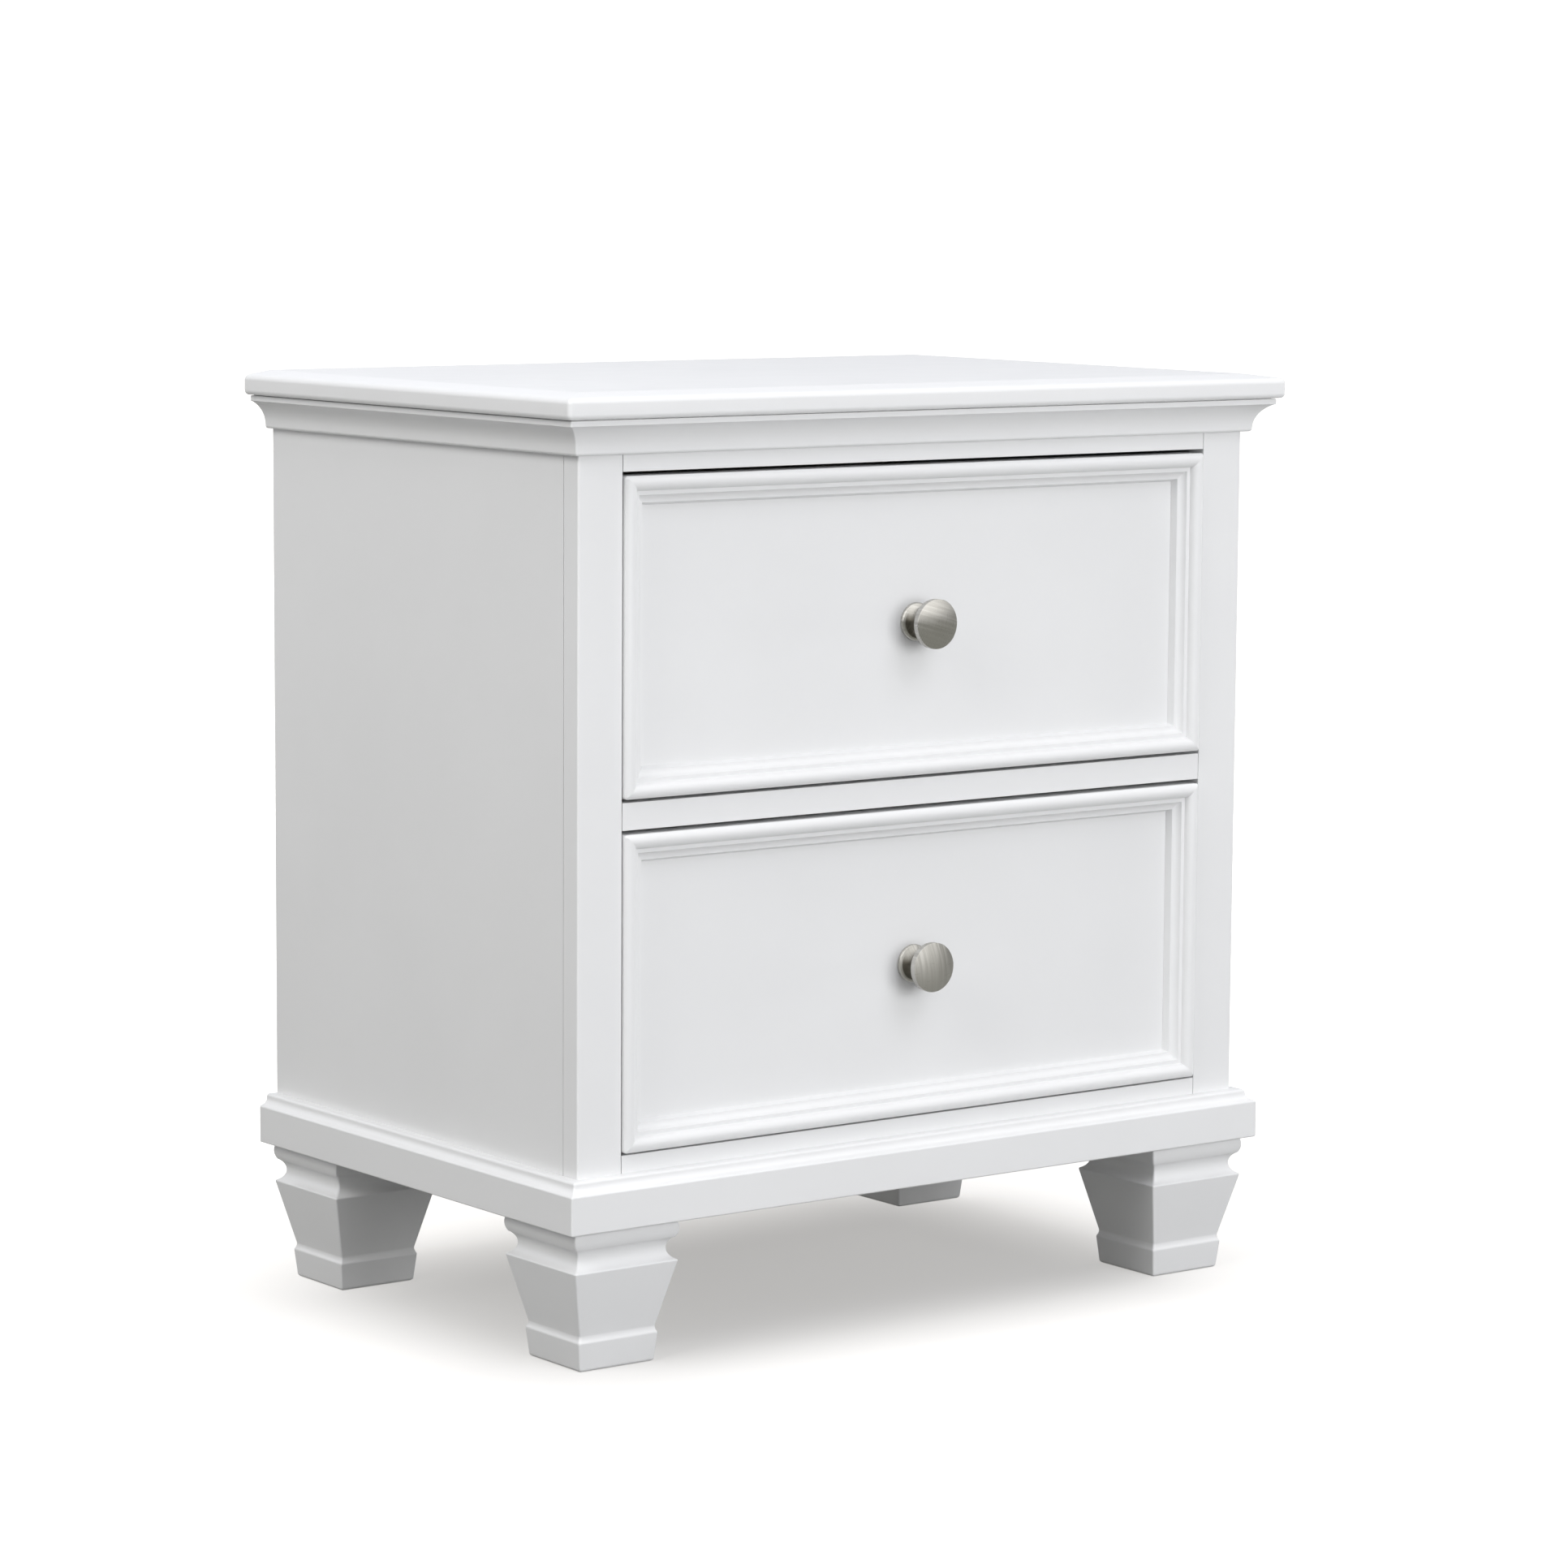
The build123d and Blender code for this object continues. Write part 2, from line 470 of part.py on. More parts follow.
    # knob: round foot plate, waist, and a domed head
    with BuildPart() as knob:
        with BuildSketch(Plane(origin=(0, panel_face, zk), x_dir=(1, 0, 0), z_dir=(0, 0, -1))) as turning:
            with BuildLine():
                Polyline((bolt_r, 0), (14.6, 0), (15.25, 0.6), (15.25, 2.4), (14.5, 3.2), (13.3, 3.4))
                ThreePointArc((13.3, 3.4), (9.0, 8.0), (8.6, 13.0))
                ThreePointArc((8.6, 13.0), (11.0, 18.6), (17.8, 21.6))
                ThreePointArc((17.8, 21.6), (19.2, 22.4), (19.7, 23.8))
                Line((19.7, 23.8), (19.7, 26.6))
                ThreePointArc((19.7, 26.6), (19.4, 27.6), (dome_edge, knob_out - dome_rise))
                CenterArc((0, knob_out - dome_r), dome_r, 90 - dome_angle, dome_angle)     # domed face
                Polyline((0, knob_out), (0, 12.0), (bolt_r, 12.0), (bolt_r, 0))
            make_face()
        revolve(axis=Axis((0, panel_face, zk), (0, -1, 0)))
    save(knob, f"{level}_knob")

    with BuildPart() as knob_bolt:
        screw((0, box_y0 + box_t, zk), (0, panel_face - 12.0, zk), bolt_r, 4.2, 2.6)
    save(knob_bolt, f"{level}_knob_bolt")
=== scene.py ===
import bpy
import bmesh
import math
from mathutils import Matrix, Vector


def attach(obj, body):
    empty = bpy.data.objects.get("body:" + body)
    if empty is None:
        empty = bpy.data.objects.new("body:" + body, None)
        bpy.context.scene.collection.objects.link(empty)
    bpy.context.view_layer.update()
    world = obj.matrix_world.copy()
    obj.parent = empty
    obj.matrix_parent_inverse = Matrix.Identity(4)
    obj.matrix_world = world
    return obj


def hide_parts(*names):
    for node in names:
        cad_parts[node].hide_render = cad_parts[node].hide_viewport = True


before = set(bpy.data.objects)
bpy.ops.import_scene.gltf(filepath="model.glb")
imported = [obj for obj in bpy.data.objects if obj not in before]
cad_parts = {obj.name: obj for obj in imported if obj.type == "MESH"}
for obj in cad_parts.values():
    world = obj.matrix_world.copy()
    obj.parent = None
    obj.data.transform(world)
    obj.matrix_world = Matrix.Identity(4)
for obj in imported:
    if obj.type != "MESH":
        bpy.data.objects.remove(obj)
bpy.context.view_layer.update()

# A white painted two-drawer nightstand. All lengths below are millimetres in the part's own frame, turned to metres
# where a mesh is made.
MM = 0.001

# ---------------------------------------------------------------- sizes, as in the part
FOOT_H, BASE_Z1, CROWN_Z0, TOP_Z0, TOP_Z1 = 111.7, 151.6, 699.1, 726.8, 746.4
HALF, INNER, OPEN_HW = 329.5, 313.5, 289.0
FRONT, FRAME_BACK, BACK = -206.0, -187.0, 232.0
BACK_IN = 227.0
TOP_HW, TOP_FRONT = 355.5, -232.0
TOP_LOW_R, TOP_CORNER_R = 4.0, 3.5
FRONT_HW = 286.75
FRONT_OUT = 1.5      # the fronts hang this much nearer the left stile
FRONT_Z = {"lower": (167.1, 411.4), "upper": (438.4, 682.6)}
PANEL_Y = -195.0
BOX_Z0 = {"lower": 179.5, "upper": 450.0}
BOX_HW, BOX_IN, BOX_Y0, BOX_Y1, BOX_H = 276.3, 264.3, -187.0, 193.0, 200.0
KNOB_Z = {"lower": 286.2, "upper": 558.2}
SLIDE_Y0, SLIDE_LEN, SLIDE_UP = -183.0, 350.0, 60.0
SLIDE_SCREW_Y = (SLIDE_Y0 + 30, SLIDE_Y0 + 160, SLIDE_Y0 + 315)
LEVELS = ("lower", "upper")

# sections: points, with ("via", a, b) for an arc to the next point through (a, b)
TOP_EDGE = [(24.0, 0.0), (23.6, 0.06), (4.8, 2.88), (4.26, 2.98), ("via", 1.21, 4.66), (0.0, 7.92)]
CROWN = [(0, 0), (4.2, 0), ("via", 6.0, 0.8), (6.6, 2.7), (6.8, 4.6), ("via", 10.9, 15.6), (18.9, 22.2), (20.3, 22.7), (20.3, 26.6), ("via", 20.15, 26.9), (19.8, 27.0), (17.3, 27.0), (17.3, 27.6), (0, 27.6)]
BASE = [(0, 0), (14.8, 0), ("via", 15.7, 0.4), (16.1, 1.3), (16.1, 29.0), ("via", 15.85, 30.1), (15.1, 30.8), (13.4, 31.6), ("via", 10.7, 33.4), (9.5, 36.4), (9.4, 37.2), ("via", 8.9, 39.0), (7.4, 39.9), (0, 39.9)]
FOOT = [(32.4, 0), ("via", 34.2, 0.9), (34.9, 2.6), (36.9, 21.8), ("via", 36.8, 23.0), (36.3, 24.0), ("via", 35.55, 26.0), (35.4, 28.4), (47.8, 79.0), ("via", 47.8, 79.9), (47.2, 80.6), ("via", 41.2, 89.2), (45.4, 97.4), (46.6, 98.0), ("via", 48.8, 104.6), (47.0, 111.7)]
MOULD = [(0, -19), (0, 2.4), ("via", 5.2, 5.2), (11.5, -0.6), (14.8, -0.6), ("via", 17.0, -4.0), (20.9, -5.3), (23.2, -11.0), (14, -11), (14, -19)]
DOME_EDGE, DOME_RISE, KNOB_OUT = 19.25, 3.6, 31.6
KNOB = [(0, 0), (14.8, 0), (15.25, 0.45), (15.25, 1.5), ("via", 14.75, 2.6), (13.6, 3.3), ("via", 9.2, 7.8), (8.6, 13.0), ("via", 11.0, 18.6), (17.8, 21.6), ("via", 19.2, 22.4), (19.7, 23.8), (19.7, 27.3), ("via", 19.6, 27.75), (DOME_EDGE, KNOB_OUT - DOME_RISE)]


# ---------------------------------------------------------------- section helpers
def arc(p, v, q, n):
    """Points of the circular arc from p through v to q, p left out."""
    (ax, ay), (bx, by), (cx, cy) = p, v, q
    d = 2 * (ax * (by - cy) + bx * (cy - ay) + cx * (ay - by))
    ux = ((ax * ax + ay * ay) * (by - cy) + (bx * bx + by * by) * (cy - ay) + (cx * cx + cy * cy) * (ay - by)) / d
    uy = ((ax * ax + ay * ay) * (cx - bx) + (bx * bx + by * by) * (ax - cx) + (cx * cx + cy * cy) * (bx - ax)) / d
    r = math.hypot(ax - ux, ay - uy)
    a0, a1, a2 = (math.atan2(y - uy, x - ux) for x, y in (p, v, q))
    turn = math.tau
    if ((a1 - a0) % turn) < ((a2 - a0) % turn):
        sweep = (a2 - a0) % turn
    else:
        sweep = -((a0 - a2) % turn)
    return [(ux + r * math.cos(a0 + sweep * k / n), uy + r * math.sin(a0 + sweep * k / n)) for k in range(1, n + 1)]


def section(items, n=8):
    """The section's points, its arcs divided into n."""
    pts, via = [], None
    for it in items:
        if it[0] == "via":
            via = (it[1], it[2])
        elif via:
            pts += arc(pts[-1], via, it, n)
            via = None
        else:
            pts.append(it)
    return [(float(x), float(y)) for x, y in pts]


def ease(pts, r, n=3, closed=True, least=28.0):
    """Rounds the corners of a section that turn by more than `least` degrees, with radius r or what the sides leave room for."""
    out, count = [], len(pts)
    for i, p in enumerate(pts):
        if not closed and i in (0, count - 1):
            out.append(p)
            continue
        a, b = pts[i - 1], pts[(i + 1) % count]
        u, v = (a[0] - p[0], a[1] - p[1]), (b[0] - p[0], b[1] - p[1])
        lu, lv = math.hypot(*u), math.hypot(*v)
        cosine = max(-1.0, min(1.0, (u[0] * v[0] + u[1] * v[1]) / (lu * lv)))
        inside = math.acos(cosine)
        if math.degrees(math.pi - inside) < least:
            out.append(p)
            continue
        cut = min(r / math.tan(inside / 2), 0.45 * lu, 0.45 * lv)
        s = (p[0] + u[0] / lu * cut, p[1] + u[1] / lu * cut)
        e = (p[0] + v[0] / lv * cut, p[1] + v[1] / lv * cut)
        radius = cut * math.tan(inside / 2)
        mid_len = cut / math.cos(inside / 2) - radius
        bis = ((u[0] / lu + v[0] / lv), (u[1] / lu + v[1] / lv))
        lb = math.hypot(*bis)
        m = (p[0] + bis[0] / lb * (cut / math.cos(inside / 2) - radius), p[1] + bis[1] / lb * (cut / math.cos(inside / 2) - radius)) if mid_len > 1e-6 else p
        out += [s] + arc(s, m, e, n)
    return out


# ---------------------------------------------------------------- mesh helpers
def loft(bm, rings, caps=True, around=True):
    """Quads between successive rings of points (mm), with both ends closed."""
    vs = [[bm.verts.new((x * MM, y * MM, z * MM)) for x, y, z in ring] for ring in rings]
    n = len(vs[0])
    for a, b in zip(vs, vs[1:]):
        for i in range(n if around else n - 1):
            j = (i + 1) % n
            bm.faces.new((a[i], a[j], b[j], b[i]))
    if caps:
        bm.faces.new(list(reversed(vs[0])))
        bm.faces.new(vs[-1])


def board(bm, lo, hi, r=0.5, seg=3):
    """A plain board between two corners (mm), all its edges eased with radius r."""
    made = bmesh.ops.create_cube(bm, size=1.0)["verts"]
    for v in made:
        v.co = Vector([(lo[k] + (v.co[k] + 0.5) * (hi[k] - lo[k])) * MM for k in range(3)])
    edges = {e for v in made for e in v.link_edges}
    bmesh.ops.bevel(bm, geom=list(edges), offset=r * MM, offset_type="OFFSET", segments=seg, profile=0.5, affect="EDGES", clamp_overlap=True)


def prism(bm, outline, z0, z1):
    """An outline in plan (mm) between two heights."""
    loft(bm, [[(x, y, z0) for x, y in outline], [(x, y, z1) for x, y in outline]])


def lathe(bm, pts, place, n=64):
    """Points (r, d) turned about an axis; place(r cos, r sin, d) gives the point in the part's frame (mm)."""
    rings = []
    for r, d in pts:
        if r < 1e-6:
            rings.append([bm.verts.new([c * MM for c in place(0.0, 0.0, d)])])
        else:
            rings.append([bm.verts.new([c * MM for c in place(r * math.cos(math.tau * k / n), r * math.sin(math.tau * k / n), d)]) for k in range(n)])
    for a, b in zip(rings, rings[1:]):
        for k in range(n):
            j = (k + 1) % n
            if len(a) == 1 and len(b) == 1:
                continue
            if len(a) == 1:
                bm.faces.new((a[0], b[j], b[k]))
            elif len(b) == 1:
                bm.faces.new((a[k], a[j], b[0]))
            else:
                bm.faces.new((a[k], a[j], b[j], b[k]))


def piece(name, bm, material, body, replaces=(), sharp=32.0, weighted=True):
    """A finished mesh as an object that rides on a body."""
    bmesh.ops.remove_doubles(bm, verts=bm.verts, dist=2e-7)
    bmesh.ops.dissolve_degenerate(bm, edges=bm.edges, dist=1e-7)
    bmesh.ops.recalc_face_normals(bm, faces=bm.faces)
    limit = math.radians(sharp)
    for f in bm.faces:
        f.smooth = True
    for e in bm.edges:
        if len(e.link_faces) == 2:
            e.smooth = e.calc_face_angle(0.0) < limit
    me = bpy.data.meshes.new(name)
    bm.to_mesh(me)
    bm.free()
    me.materials.append(material)
    ob = bpy.data.objects.new(name, me)
    bpy.context.scene.collection.objects.link(ob)
    if weighted:
        wn = ob.modifiers.new("even_normals", "WEIGHTED_NORMAL")
        wn.weight = 100
        wn.keep_sharp = True
    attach(ob, body)
    if replaces:
        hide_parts(*replaces)
    return ob


# ---------------------------------------------------------------- materials
def material(name):
    m = bpy.data.materials.new(name)
    m.use_nodes = True
    nt = m.node_tree
    nt.nodes.clear()
    out = nt.nodes.new("ShaderNodeOutputMaterial")
    bsdf = nt.nodes.new("ShaderNodeBsdfPrincipled")
    nt.links.new(bsdf.outputs["BSDF"], out.inputs["Surface"])
    return m, nt, bsdf


def coords(nt, scale, turn=(0, 0, 0)):
    """Object coordinates, scaled."""
    tc = nt.nodes.new("ShaderNodeTexCoord")
    mp = nt.nodes.new("ShaderNodeMapping")
    mp.inputs["Scale"].default_value = scale
    mp.inputs["Rotation"].default_value = turn
    nt.links.new(tc.outputs["Object"], mp.inputs["Vector"])
    return mp.outputs["Vector"]


def noise(nt, vector, scale, detail=3.0, rough=0.5, distortion=0.0):
    n = nt.nodes.new("ShaderNodeTexNoise")
    n.inputs["Scale"].default_value = scale
    n.inputs["Detail"].default_value = detail
    n.inputs["Roughness"].default_value = rough
    n.inputs["Distortion"].default_value = distortion
    nt.links.new(vector, n.inputs["Vector"])
    return n.outputs["Fac"]


def ramp(nt, fac, stops):
    r = nt.nodes.new("ShaderNodeValToRGB")
    r.color_ramp.elements[0].position, r.color_ramp.elements[0].color = stops[0][0], (*stops[0][1], 1)
    r.color_ramp.elements[1].position, r.color_ramp.elements[1].color = stops[-1][0], (*stops[-1][1], 1)
    for pos, col in stops[1:-1]:
        e = r.color_ramp.elements.new(pos)
        e.color = (*col, 1)
    nt.links.new(fac, r.inputs["Fac"])
    return r.outputs["Color"]


def spread(nt, fac, lo, hi, a=0.3, b=0.7):
    m = nt.nodes.new("ShaderNodeMapRange")
    m.inputs["From Min"].default_value, m.inputs["From Max"].default_value = a, b
    m.inputs["To Min"].default_value, m.inputs["To Max"].default_value = lo, hi
    nt.links.new(fac, m.inputs["Value"])
    return m.outputs["Result"]


def bump(nt, height, strength, distance, normal=None):
    b = nt.nodes.new("ShaderNodeBump")
    b.inputs["Strength"].default_value = strength
    b.inputs["Distance"].default_value = distance
    nt.links.new(height, b.inputs["Height"])
    if normal:
        nt.links.new(normal, b.inputs["Normal"])
    return b.outputs["Normal"]


def along(axis, with_grain, across):
    return tuple(with_grain if k == axis else across for k in range(3))


PAINT_LO, PAINT_HI = (0.786, 0.789, 0.793), (0.805, 0.808, 0.812)


def paint(name, axis):
    """Satin white lacquer over wood: a faint orange peel, and the grain just showing through along one axis."""
    m, nt, b = material(name)
    soft = noise(nt, coords(nt, (1, 1, 1)), 7.0, 4.0, 0.55)
    nt.links.new(ramp(nt, soft, [(0.3, PAINT_LO), (0.7, PAINT_HI)]), b.inputs["Base Color"])
    cloud = noise(nt, coords(nt, (1, 1, 1)), 26.0, 3.0, 0.6)
    nt.links.new(spread(nt, cloud, 0.34, 0.44), b.inputs["Roughness"])
    grain = noise(nt, coords(nt, along(axis, 14.0, 620.0)), 1.0, 4.0, 0.6)
    peel = noise(nt, coords(nt, (1, 1, 1)), 850.0, 2.0, 0.5)
    n1 = bump(nt, grain, 0.10, 0.00012)
    nt.links.new(bump(nt, peel, 0.10, 0.00010, n1), b.inputs["Normal"])
    b.inputs["IOR"].default_value = 1.5
    b.inputs["Coat Weight"].default_value = 0.12
    b.inputs["Coat Roughness"].default_value = 0.30
    return m


def timber(name, axis, stops, ring_scale, fine, rough=(0.48, 0.62), seed=(0.0, 0.0, 0.0), relief=0.25):
    """Bare or sealed wood: growth rings drawn out along the grain, fine pores, small colour drift."""
    m, nt, b = material(name)
    tc = nt.nodes.new("ShaderNodeTexCoord")
    mp = nt.nodes.new("ShaderNodeMapping")
    mp.inputs["Scale"].default_value = along(axis, 0.9, 9.0)
    mp.inputs["Location"].default_value = seed
    nt.links.new(tc.outputs["Object"], mp.inputs["Vector"])
    rings = noise(nt, mp.outputs["Vector"], ring_scale, 2.0, 0.45, 0.6)
    wave = nt.nodes.new("ShaderNodeMath")
    wave.operation = "MULTIPLY"
    wave.inputs[1].default_value = 9.0
    nt.links.new(rings, wave.inputs[0])
    frac = nt.nodes.new("ShaderNodeMath")
    frac.operation = "PINGPONG"
    frac.inputs[1].default_value = 1.0
    nt.links.new(wave.outputs[0], frac.inputs[0])
    pores = noise(nt, coords(nt, along(axis, 18.0, fine)), 1.0, 5.0, 0.65)
    both = nt.nodes.new("ShaderNodeMix")
    both.data_type = "FLOAT"
    both.inputs[0].default_value = 0.45
    nt.links.new(frac.outputs[0], both.inputs[2])
    nt.links.new(pores, both.inputs[3])
    nt.links.new(ramp(nt, both.outputs[0], stops), b.inputs["Base Color"])
    nt.links.new(spread(nt, pores, rough[0], rough[1]), b.inputs["Roughness"])
    nt.links.new(bump(nt, both.outputs[0], relief, 0.0002), b.inputs["Normal"])
    b.inputs["IOR"].default_value = 1.48
    return m


def plated(name, axis, colour_a, colour_b, rough=(0.28, 0.42)):
    """Zinc plated steel: rolled streaks along one axis and a faint spangle."""
    m, nt, b = material(name)
    cells = nt.nodes.new("ShaderNodeTexVoronoi")
    cells.inputs["Scale"].default_value = 260.0
    nt.links.new(coords(nt, (1, 1, 1)), cells.inputs["Vector"])
    grey = nt.nodes.new("ShaderNodeRGBToBW")
    nt.links.new(cells.outputs["Color"], grey.inputs["Color"])
    nt.links.new(ramp(nt, grey.outputs["Val"], [(0.0, colour_a), (1.0, colour_b)]), b.inputs["Base Color"])
    streak = noise(nt, coords(nt, along(axis, 20.0, 900.0)), 1.0, 4.0, 0.6)
    nt.links.new(spread(nt, streak, rough[0], rough[1]), b.inputs["Roughness"])
    nt.links.new(bump(nt, streak, 0.12, 0.0001), b.inputs["Normal"])
    b.inputs["Metallic"].default_value = 1.0
    return m


def nickel(name, turn, zk, rough, stretch):
    """Brushed nickel: fine straight brush lines across the knob, turned by an angle about its axis, painted reflection
    streaks square to them, and painted shade low in the waist.
    """
    m, nt, b = material(name)

    def brushed(scale):
        first = coords(nt, (1.0, 1.0, 1.0), (0.0, -turn, 0.0))
        then = nt.nodes.new("ShaderNodeMapping")
        then.inputs["Scale"].default_value = scale
        nt.links.new(first, then.inputs["Vector"])
        return then.outputs["Vector"]

    line = noise(nt, brushed((60.0, 60.0, 2600.0)), 1.0, 4.0, 0.65)
    wide = noise(nt, brushed((20.0, 20.0, 420.0)), 1.0, 3.0, 0.6)
    # painted reflection streaks: pale and dark bands in the colour, square to the brush lines, stand in for stretched
    # reflections
    streak = noise(nt, brushed((430.0, 15.0, 15.0)), 1.0, 3.0, 0.6)
    # painted shade: the dark tone put into the waist
    waist_shade_tone = ramp(nt, wide, [(0.25, (0.075, 0.069, 0.056)), (0.75, (0.130, 0.121, 0.102))])
    tc = nt.nodes.new("ShaderNodeTexCoord")
    axes = nt.nodes.new("ShaderNodeSeparateXYZ")
    nt.links.new(tc.outputs["Object"], axes.inputs["Vector"])
    reflection_streak_fade = nt.nodes.new("ShaderNodeMapRange")                            # painted reflection: the streaks stand in for stretched reflections and are strongest high on the knob
    reflection_streak_fade.interpolation_type = "SMOOTHSTEP"
    reflection_streak_fade.inputs["From Min"].default_value, reflection_streak_fade.inputs["From Max"].default_value = (zk - 13.0) * MM, (zk + 9.0) * MM
    reflection_streak_fade.inputs["To Min"].default_value, reflection_streak_fade.inputs["To Max"].default_value = 0.22, 1.0
    nt.links.new(axes.outputs["Z"], reflection_streak_fade.inputs["Value"])
    lit = nt.nodes.new("ShaderNodeMix")
    lit.data_type = "RGBA"
    lit.inputs[6].default_value = (0.513, 0.504, 0.477, 1.0)
    nt.links.new(reflection_streak_fade.outputs["Result"], lit.inputs["Factor"])
    nt.links.new(ramp(nt, streak, [(0.33, (0.410, 0.402, 0.376)), (0.67, (0.615, 0.606, 0.580))]), lit.inputs[7])
    unshaded_colour = lit.outputs[2]
    # painted shade: the waist between plate and head is darkened, in full below the knob's middle and fading out by
    # 12.5 mm above it
    waist_shade_masks = []
    for axis, near, far in (("Y", PANEL_Y - 3.2, PANEL_Y - 4.0), ("Y", PANEL_Y - 22.4, PANEL_Y - 19.8), ("Z", zk + 12.5, zk + 1.0)):
        r = nt.nodes.new("ShaderNodeMapRange")
        r.interpolation_type = "SMOOTHSTEP"
        r.inputs["From Min"].default_value, r.inputs["From Max"].default_value = near * MM, far * MM
        nt.links.new(axes.outputs[axis], r.inputs["Value"])
        waist_shade_masks.append(r.outputs["Result"])
    both = waist_shade_masks[0]
    for k in waist_shade_masks[1:]:
        times = nt.nodes.new("ShaderNodeMath")
        times.operation = "MULTIPLY"
        nt.links.new(both, times.inputs[0])
        nt.links.new(k, times.inputs[1])
        both = times.outputs[0]
    mix = nt.nodes.new("ShaderNodeMix")
    mix.data_type = "RGBA"
    nt.links.new(both, mix.inputs["Factor"])
    nt.links.new(unshaded_colour, mix.inputs[6])
    nt.links.new(waist_shade_tone, mix.inputs[7])
    nt.links.new(mix.outputs[2], b.inputs["Base Color"])
    nt.links.new(spread(nt, line, *rough), b.inputs["Roughness"])
    n1 = bump(nt, wide, 0.06, 0.00025)
    nt.links.new(bump(nt, line, 0.20, 0.00006, n1), b.inputs["Normal"])
    b.inputs["Metallic"].default_value = 1.0
    b.inputs["Anisotropic"].default_value = stretch
    tg = nt.nodes.new("ShaderNodeTangent")
    tg.direction_type = "UV_MAP"
    tg.uv_map = "brush"
    nt.links.new(tg.outputs["Tangent"], b.inputs["Tangent"])
    return m


def faced(name, lo, hi):
    """White faced fibreboard: a dull thin skin with a faint fibre fleck."""
    m, nt, b = material(name)
    fleck = noise(nt, coords(nt, (1, 1, 1)), 420.0, 4.0, 0.7)
    nt.links.new(ramp(nt, fleck, [(0.3, lo), (0.7, hi)]), b.inputs["Base Color"])
    cloud = noise(nt, coords(nt, (1, 1, 1)), 18.0, 3.0, 0.6)
    nt.links.new(spread(nt, cloud, 0.52, 0.66), b.inputs["Roughness"])
    nt.links.new(bump(nt, fleck, 0.12, 0.0001), b.inputs["Normal"])
    return m


PAINT = [paint(f"white_paint_{a}", k) for k, a in enumerate("xyz")]
BOX_STOPS = [(0.10, (0.78, 0.62, 0.43)), (0.45, (0.70, 0.53, 0.35)), (0.75, (0.60, 0.43, 0.27)), (1.0, (0.48, 0.33, 0.20))]
PLY_STOPS = [(0.10, (0.76, 0.62, 0.45)), (0.55, (0.68, 0.53, 0.37)), (1.0, (0.56, 0.41, 0.27))]
RAW_STOPS = [(0.10, (0.74, 0.56, 0.36)), (0.50, (0.64, 0.46, 0.28)), (1.0, (0.46, 0.31, 0.18))]
BOX_WOOD = [timber(f"drawer_wood_{a}", k, BOX_STOPS, 2.4, 520.0, (0.42, 0.55), (3.1 * k + 1.7, 0.3, 5.2)) for k, a in enumerate("xyz")]
PLY = timber("drawer_ply_x", 0, PLY_STOPS, 1.6, 640.0, (0.46, 0.58), (7.3, 2.2, 0.4), 0.15)
RAW = [timber(f"frame_wood_{a}", k, RAW_STOPS, 3.2, 420.0, (0.6, 0.75), (0.4, 2.9 * k, 1.1), 0.35) for k, a in enumerate("xyz")]
BOARD = faced("white_faced_board", (0.70, 0.70, 0.69), (0.78, 0.78, 0.775))
ZINC = plated("zinc_plated_channel", 1, (0.50, 0.51, 0.53), (0.66, 0.67, 0.69))
SCREW = plated("zinc_plated_screw", 2, (0.52, 0.52, 0.52), (0.68, 0.68, 0.67), (0.24, 0.36))
BRUSH = {"upper": math.radians(106), "lower": math.radians(-8)}      # the brush lines' turn from level
NICKEL = {level: nickel(f"brushed_nickel_{level}", BRUSH[level], KNOB_Z[level], *gloss) for level, gloss in (("lower", ((0.27, 0.34), 1.0)), ("upper", ((0.25, 0.36), 0.85)))}

# ---------------------------------------------------------------- top board
bm = bmesh.new()
low = [math.radians(a) for a in (0, 18, 36, 54, 72, 90)]
levels_up = [(TOP_LOW_R * (1 - math.sin(a)), TOP_Z0 + TOP_LOW_R * (1 - math.cos(a))) for a in low] + [(i, TOP_Z1 - d) for i, d in reversed(section(TOP_EDGE, 7))]
rings = []
for inset, z in levels_up:
    rho = max(TOP_CORNER_R - inset, 0.9)
    x1, y0 = TOP_HW - inset, TOP_FRONT + inset
    ring = [(x1, BACK, z), (-x1, BACK, z)]
    for sx in (-1, 1):
        arc_pts = []
        for k in range(7):
            a = math.pi / 2 * k / 6
            arc_pts.append((sx * (x1 - rho + rho * math.cos(a)), y0 + rho - rho * math.sin(a), z))
        ring += arc_pts if sx < 0 else arc_pts[::-1]
    rings.append(ring)
loft(bm, rings)
piece("painted_top_board", bm, PAINT[0], "cabinet", ["top_panel"])


# ---------------------------------------------------------------- crown and base mouldings
def run_rings(sec, z0, side, rho):
    """Rings of a moulding length round the carcass, its outside corners rounded by rho at the mitre."""
    rings = []
    steps = [math.radians(a) for a in (45, 30, 15, 0)]
    if side == "front":
        for sx, order in ((-1, steps), (1, steps[::-1])):
            for a in order:
                ring = []
                for e, z in sec:
                    cx, cy = HALF + e - rho, FRONT - e + rho
                    ring.append((sx * (cx + rho * math.sin(a)), cy - rho * math.cos(a), z0 + z))
                rings.append(ring)
    else:
        sx = -1 if side == "left" else 1
        for a in steps:
            ring = []
            for e, z in sec:
                cx, cy = HALF + e - rho, FRONT - e + rho
                ring.append((sx * (cx + rho * math.cos(a)), cy - rho * math.sin(a), z0 + z))
            rings.append(ring)
        rings.append([(sx * (HALF + e), BACK, z0 + z) for e, z in sec])
    return rings


for kind, items, z0, rho in (("crown", CROWN, CROWN_Z0, 0.9), ("base", BASE, FOOT_H, 1.3)):
    sec = ease(section(items, 10), 0.35, 3)
    for side in ("front", "left", "right"):
        bm = bmesh.new()
        loft(bm, run_rings(sec, z0, side, rho))
        piece(f"painted_{kind}_{side}", bm, PAINT[0] if side == "front" else PAINT[1], "cabinet", [f"{kind}_{side}"])


